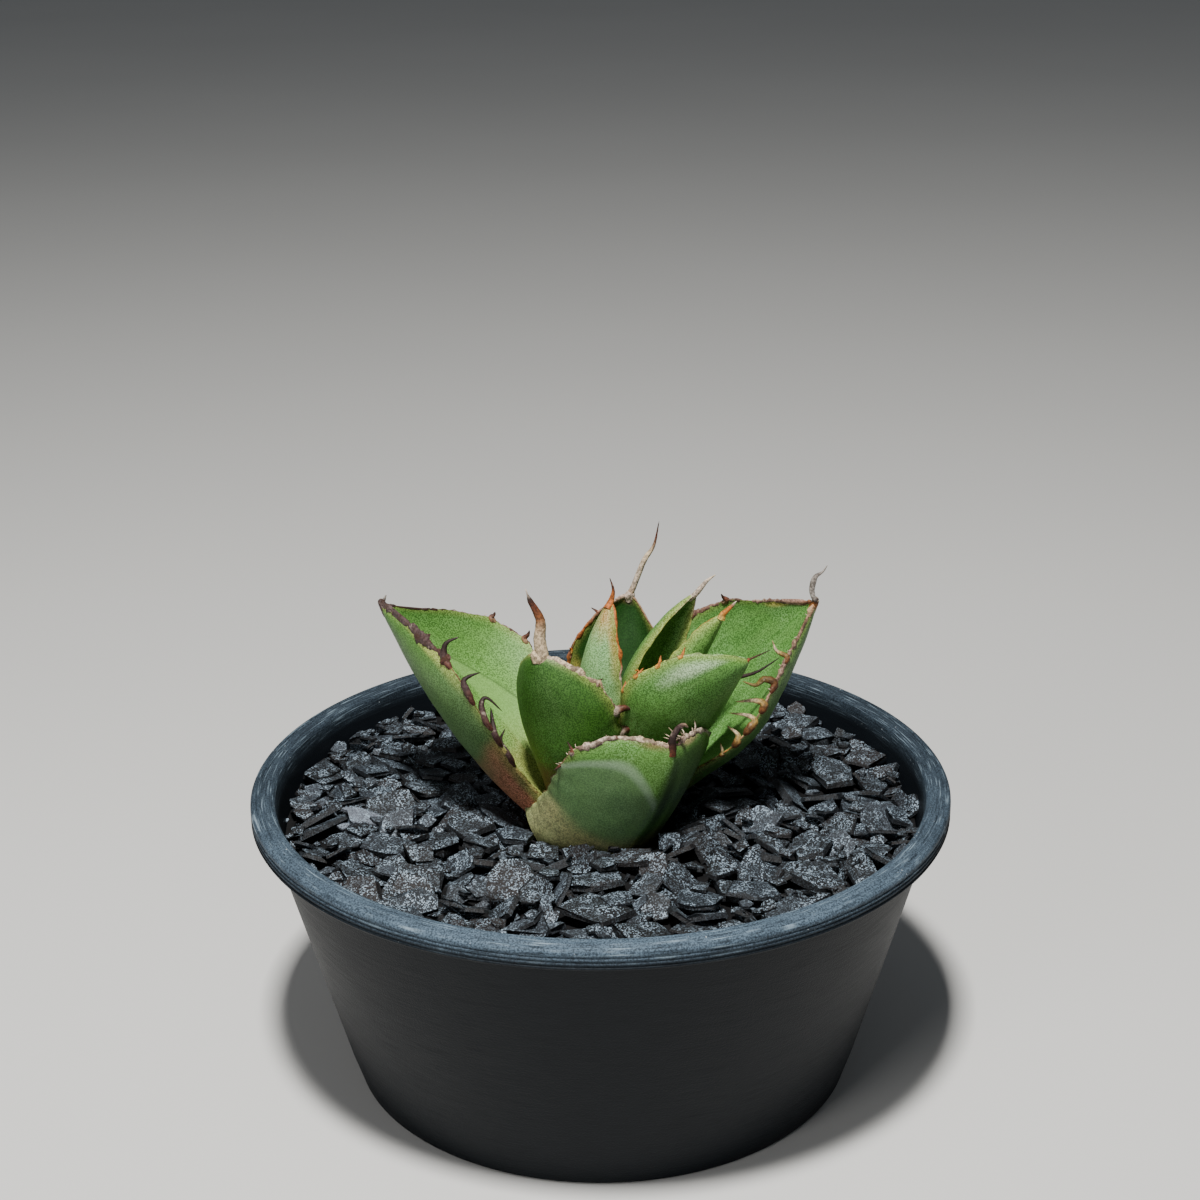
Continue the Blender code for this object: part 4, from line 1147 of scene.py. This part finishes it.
def chip_shape(number):
    """A flat splinter about one unit long: sharp edges, and a thinner flake left on its top."""
    bm = bmesh.new()
    corners = dice.choice((4, 5, 5, 6))
    bmesh.ops.create_circle(bm, cap_ends=True, radius=0.5, segments=corners)
    narrow = dice.uniform(0.55, 0.85)
    for corner in bm.verts:
        corner.co.x = corner.co.x * 0.9 + dice.uniform(-0.09, 0.09)
        corner.co.y = corner.co.y * narrow + dice.uniform(-0.08, 0.08)
    outline = [corner.co.xy.copy() for corner in bm.verts]
    grown_part = bmesh.ops.extrude_face_region(bm, geom=bm.faces[:])
    top = [item for item in grown_part["geom"] if isinstance(item, bmesh.types.BMVert)]
    for corner in top:
        corner.co.z = CHIP_THICK * dice.uniform(0.5, 1.3)
        corner.co.x *= dice.uniform(0.88, 1.0)
        corner.co.y *= dice.uniform(0.84, 1.0)
    cap = [item for item in grown_part["geom"] if isinstance(item, bmesh.types.BMFace)]
    flake = bmesh.ops.extrude_face_region(bm, geom=cap)
    shorter = dice.uniform(0.45, 0.85)
    shift = dice.choice((-1, 1)) * (1 - shorter) * 0.42
    for item in flake["geom"]:
        if isinstance(item, bmesh.types.BMVert):
            item.co.x = item.co.x * shorter + shift
            item.co.y *= 0.96
            item.co.z += dice.uniform(0.02, 0.07)
    bmesh.ops.delete(bm, geom=cap, context="FACES_ONLY")
    bmesh.ops.recalc_face_normals(bm, faces=bm.faces[:])
    outer = [edge for edge in bm.edges if edge.calc_face_angle(0) > SHARP_ANGLE]
    bmesh.ops.bevel(bm, geom=outer, offset=BROKEN_EDGE, offset_type="OFFSET", segments=1,
                    profile=0.5, affect="EDGES", material=-1)
    bmesh.ops.translate(bm, vec=(0, 0, -CHIP_MIDDLE), verts=bm.verts[:])
    bm.verts.layers.float_color.new("tint")
    cleaved = bm.faces.layers.float.new("cleaved")
    for face in bm.faces:
        face.normal_update()
        face[cleaved] = smooth(abs(face.normal.z) * 1.6 - 0.6)
    mesh = bpy.data.meshes.new(f"chip_shape_{number}")
    bm.to_mesh(mesh)
    bm.free()
    return mesh, np.array(outline)


shapes = [chip_shape(number) for number in range(CHIP_SHAPES)]
print("splinters with", [len(mesh.polygons) for mesh, outline in shapes], "faces")

# %% [markdown]
# ### The height map
#
# Two grids lie over the pot.  One holds how high the chips reach so far, the other how low
# the leaves hang.

# %% Grids
CELL = 0.5
SPAN = 104
axis = (np.arange(SPAN * 2) + 0.5) * CELL - SPAN * CELL
GRID_X, GRID_Y = np.meshgrid(axis, axis, indexing="ij")
GRID_R = np.hypot(GRID_X, GRID_Y)
BED_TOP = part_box("gravel_bed")[1].z / MM - RIM_TOP
ROOM = MOUTH_RADIUS - 0.35
PILE_TOP = -4.0
heap = np.full(GRID_X.shape, BED_TOP - 1.0)
ceiling = np.full(GRID_X.shape, 99.0)
for piece in grown:
    spots = np.array([corner.co for corner in piece.data.vertices]) / MM - (0, 0, RIM_TOP)
    spots = spots[spots[:, 2] < 2.0]
    columns = np.floor(spots[:, :2] / CELL + SPAN).astype(int)
    np.minimum.at(ceiling, (columns[:, 0], columns[:, 1]), spots[:, 2])
for shift, way in ((1, 0), (-1, 0), (1, 1), (-1, 1)):
    ceiling = np.minimum(ceiling, np.roll(ceiling, shift, way))
print("bed", round(BED_TOP, 2), "mm under the rim; covered cells", int((ceiling < 50).sum()))


# %% Drop the chips
def footprint(corners):
    """Cells inside a convex outline."""
    low = np.floor(corners.min(0) / CELL + SPAN).astype(int)
    high = np.ceil(corners.max(0) / CELL + SPAN).astype(int)
    part = (slice(low[0], high[0] + 1), slice(low[1], high[1] + 1))
    x, y = GRID_X[part], GRID_Y[part]
    inside = np.ones(x.shape, bool)
    for first, second in zip(corners, np.roll(corners, -1, 0)):
        edge = second - first
        inside &= edge[0] * (y - first[1]) - edge[1] * (x - first[0]) >= 0
    return part, x, y, inside


def try_chip(length, steep):
    """One place for a chip: how low it would lie, where, and how it is turned."""
    mesh, outline = shapes[dice.randrange(CHIP_SHAPES)]
    radius = ROOM * math.sqrt(dice.random())
    angle = dice.uniform(0, math.tau)
    spot = Vector((radius * math.cos(angle), radius * math.sin(angle), 0))
    thick = min(max(length * dice.uniform(0.5, 1.1), 2.6), 7.5)
    lean = math.radians(dice.uniform(25, 65) if steep else abs(dice.gauss(0, 17)))
    heading = Matrix.Rotation(dice.uniform(0, math.tau), 3, "Z")
    tilt = Matrix.Rotation(lean, 3, dice.choice("XY"))
    spin = Matrix.Rotation(dice.uniform(0, math.tau), 3, "Z")
    turn = heading @ tilt @ spin @ Matrix.Diagonal((length, length, thick))
    tops = np.array([(turn @ Vector((x, y, CHIP_MIDDLE))) for x, y in outline])
    flat = tops[:, :2] + np.array(spot.xy)
    if np.hypot(*flat.T).max() > ROOM:
        return None
    part, x, y, inside = footprint(flat)
    if inside.sum() < 2:
        return None
    normal = (turn.inverted().transposed() @ Vector((0, 0, 1))).normalized()
    slope = -(normal.x * (x - spot.x) + normal.y * (y - spot.y)) / normal.z
    body = CHIP_MIDDLE * thick / abs(normal.z)
    rest = (heap[part] - slope + body)[inside].max()
    rest -= (tops[:, 2].max() - tops[:, 2].min()) * (0.42 if steep else 0.18)
    upper = rest + slope + body
    limit = PILE_TOP + 0.9 * (1 - (radius / ROOM) ** 2) + (1.5 if steep else 0.6)
    if upper[inside].max() > limit or (upper > ceiling[part] - 0.1)[inside].any():
        return None
    return rest + 0.25 * abs(lean), (mesh, spot + Vector((0, 0, rest)), turn, part, inside, upper)


def drop_chips(count, low, high, steep_share, tries):
    placed = []
    for number in range(count):
        length = dice.uniform(low, high)
        steep = dice.random() < steep_share
        found = [place for place in (try_chip(length, steep) for attempt in range(tries)) if place]
        if not found:
            continue
        mesh, spot, turn, part, inside, upper = min(found, key=lambda place: place[0])[1]
        heap[part] = np.where(inside, np.maximum(heap[part], upper), heap[part])
        placed.append((mesh, spot, turn))
    return placed


# How many chips are tried, shortest, longest, share that stand steep, tries for each.
LAYERS = [(230, 7.0, 13.0, 0.30, 12), (220, 5.5, 11.0, 0.45, 20),
          (240, 3.5, 8.0, 0.35, 14), (460, 1.5, 4.0, 0.40, 10)]
layers_of_chips = [drop_chips(*layer) for layer in LAYERS]
print("chips", [len(layer) for layer in layers_of_chips])

# %% [markdown]
# ### Tones of slate
#
# Slate from one sack still varies: most chips are charcoal and some are bluer or browner.
# What lies on top near one spot at the left is pale.  Each chip keeps its own tone on its
# corners.

# %% Gather the chips
CHARCOAL = (0.012, 0.013, 0.015)
TONES = [CHARCOAL, CHARCOAL, CHARCOAL, (0.020, 0.023, 0.028), (0.014, 0.018, 0.024),
         (0.018, 0.015, 0.015), (0.007, 0.007, 0.008), (0.036, 0.042, 0.052)]
PALE_SPOT = Vector((-37.1, -5.1))
PALE_REACH = 3.0
PALE = (0.16, 0.18, 0.22)


def slate():
    material, tree, shader = new_finish("broken_slate", 0.55, 0.3)
    tint = stored(tree, "tint", colour=True)
    sparkle = add_node(tree, "ShaderNodeSeparateColor", {}, {"Color": cells(tree, 5600.0, "Color")})
    fine = grain(tree, 5200.0, 2.0)
    patch = grain(tree, 380.0, 3.0)
    cleaved = stored(tree, "cleaved")
    glint = sparkle.rise(0.58, 0.74) * (0.2 + 0.8 * patch.rise(0.42, 0.60)) * fine.rise(0.36, 0.52)
    glint = glint * (0.10 + 0.90 * cleaved)
    # Broken edges are painted darker than the cleaved faces: painted shade on the chips' sides.
    colour = mix((1.0 - fine.rise(0.35, 0.6)) * 0.6 + (1.0 - cleaved) * 0.4, tint, (0.001, 0.001, 0.0015))
    colour = mix(glint * 0.95, colour, (0.31, 0.40, 0.49))
    connect(shader, colour, 0.60 - glint * 0.3, fine * 0.6 + patch * 2.0, 0.00022, 1.0)
    return material


def gather_chips(placed, name, stands_for, finish):
    bm = bmesh.new()
    bm.verts.layers.float_color.new("tint")
    for mesh, spot, turn in placed:
        chip = mesh.copy()
        tone = dice.choice(TONES)
        if (spot.xy - PALE_SPOT).length < PALE_REACH and spot.z > PILE_TOP - 1.3:
            tone = PALE
        chip.attributes["tint"].data.foreach_set("color", (*tone, 1.0) * len(chip.vertices))
        chip.transform(Matrix.Translation(spot) @ turn.to_4x4())
        bm.from_mesh(chip)
        bpy.data.meshes.remove(chip)
    in_pot(bm)
    make_piece(bm, name, [finish], stands_for, 20)


slate_finish = slate()
chip_nodes = sorted(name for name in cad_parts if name.startswith("chip_"))
share_of_nodes = len(chip_nodes) // len(layers_of_chips)
for number, layer in enumerate(layers_of_chips):
    first = number * share_of_nodes
    nodes = chip_nodes[first:first + share_of_nodes]
    gather_chips(layer, f"slate_chips_{number + 1}", nodes, slate_finish)
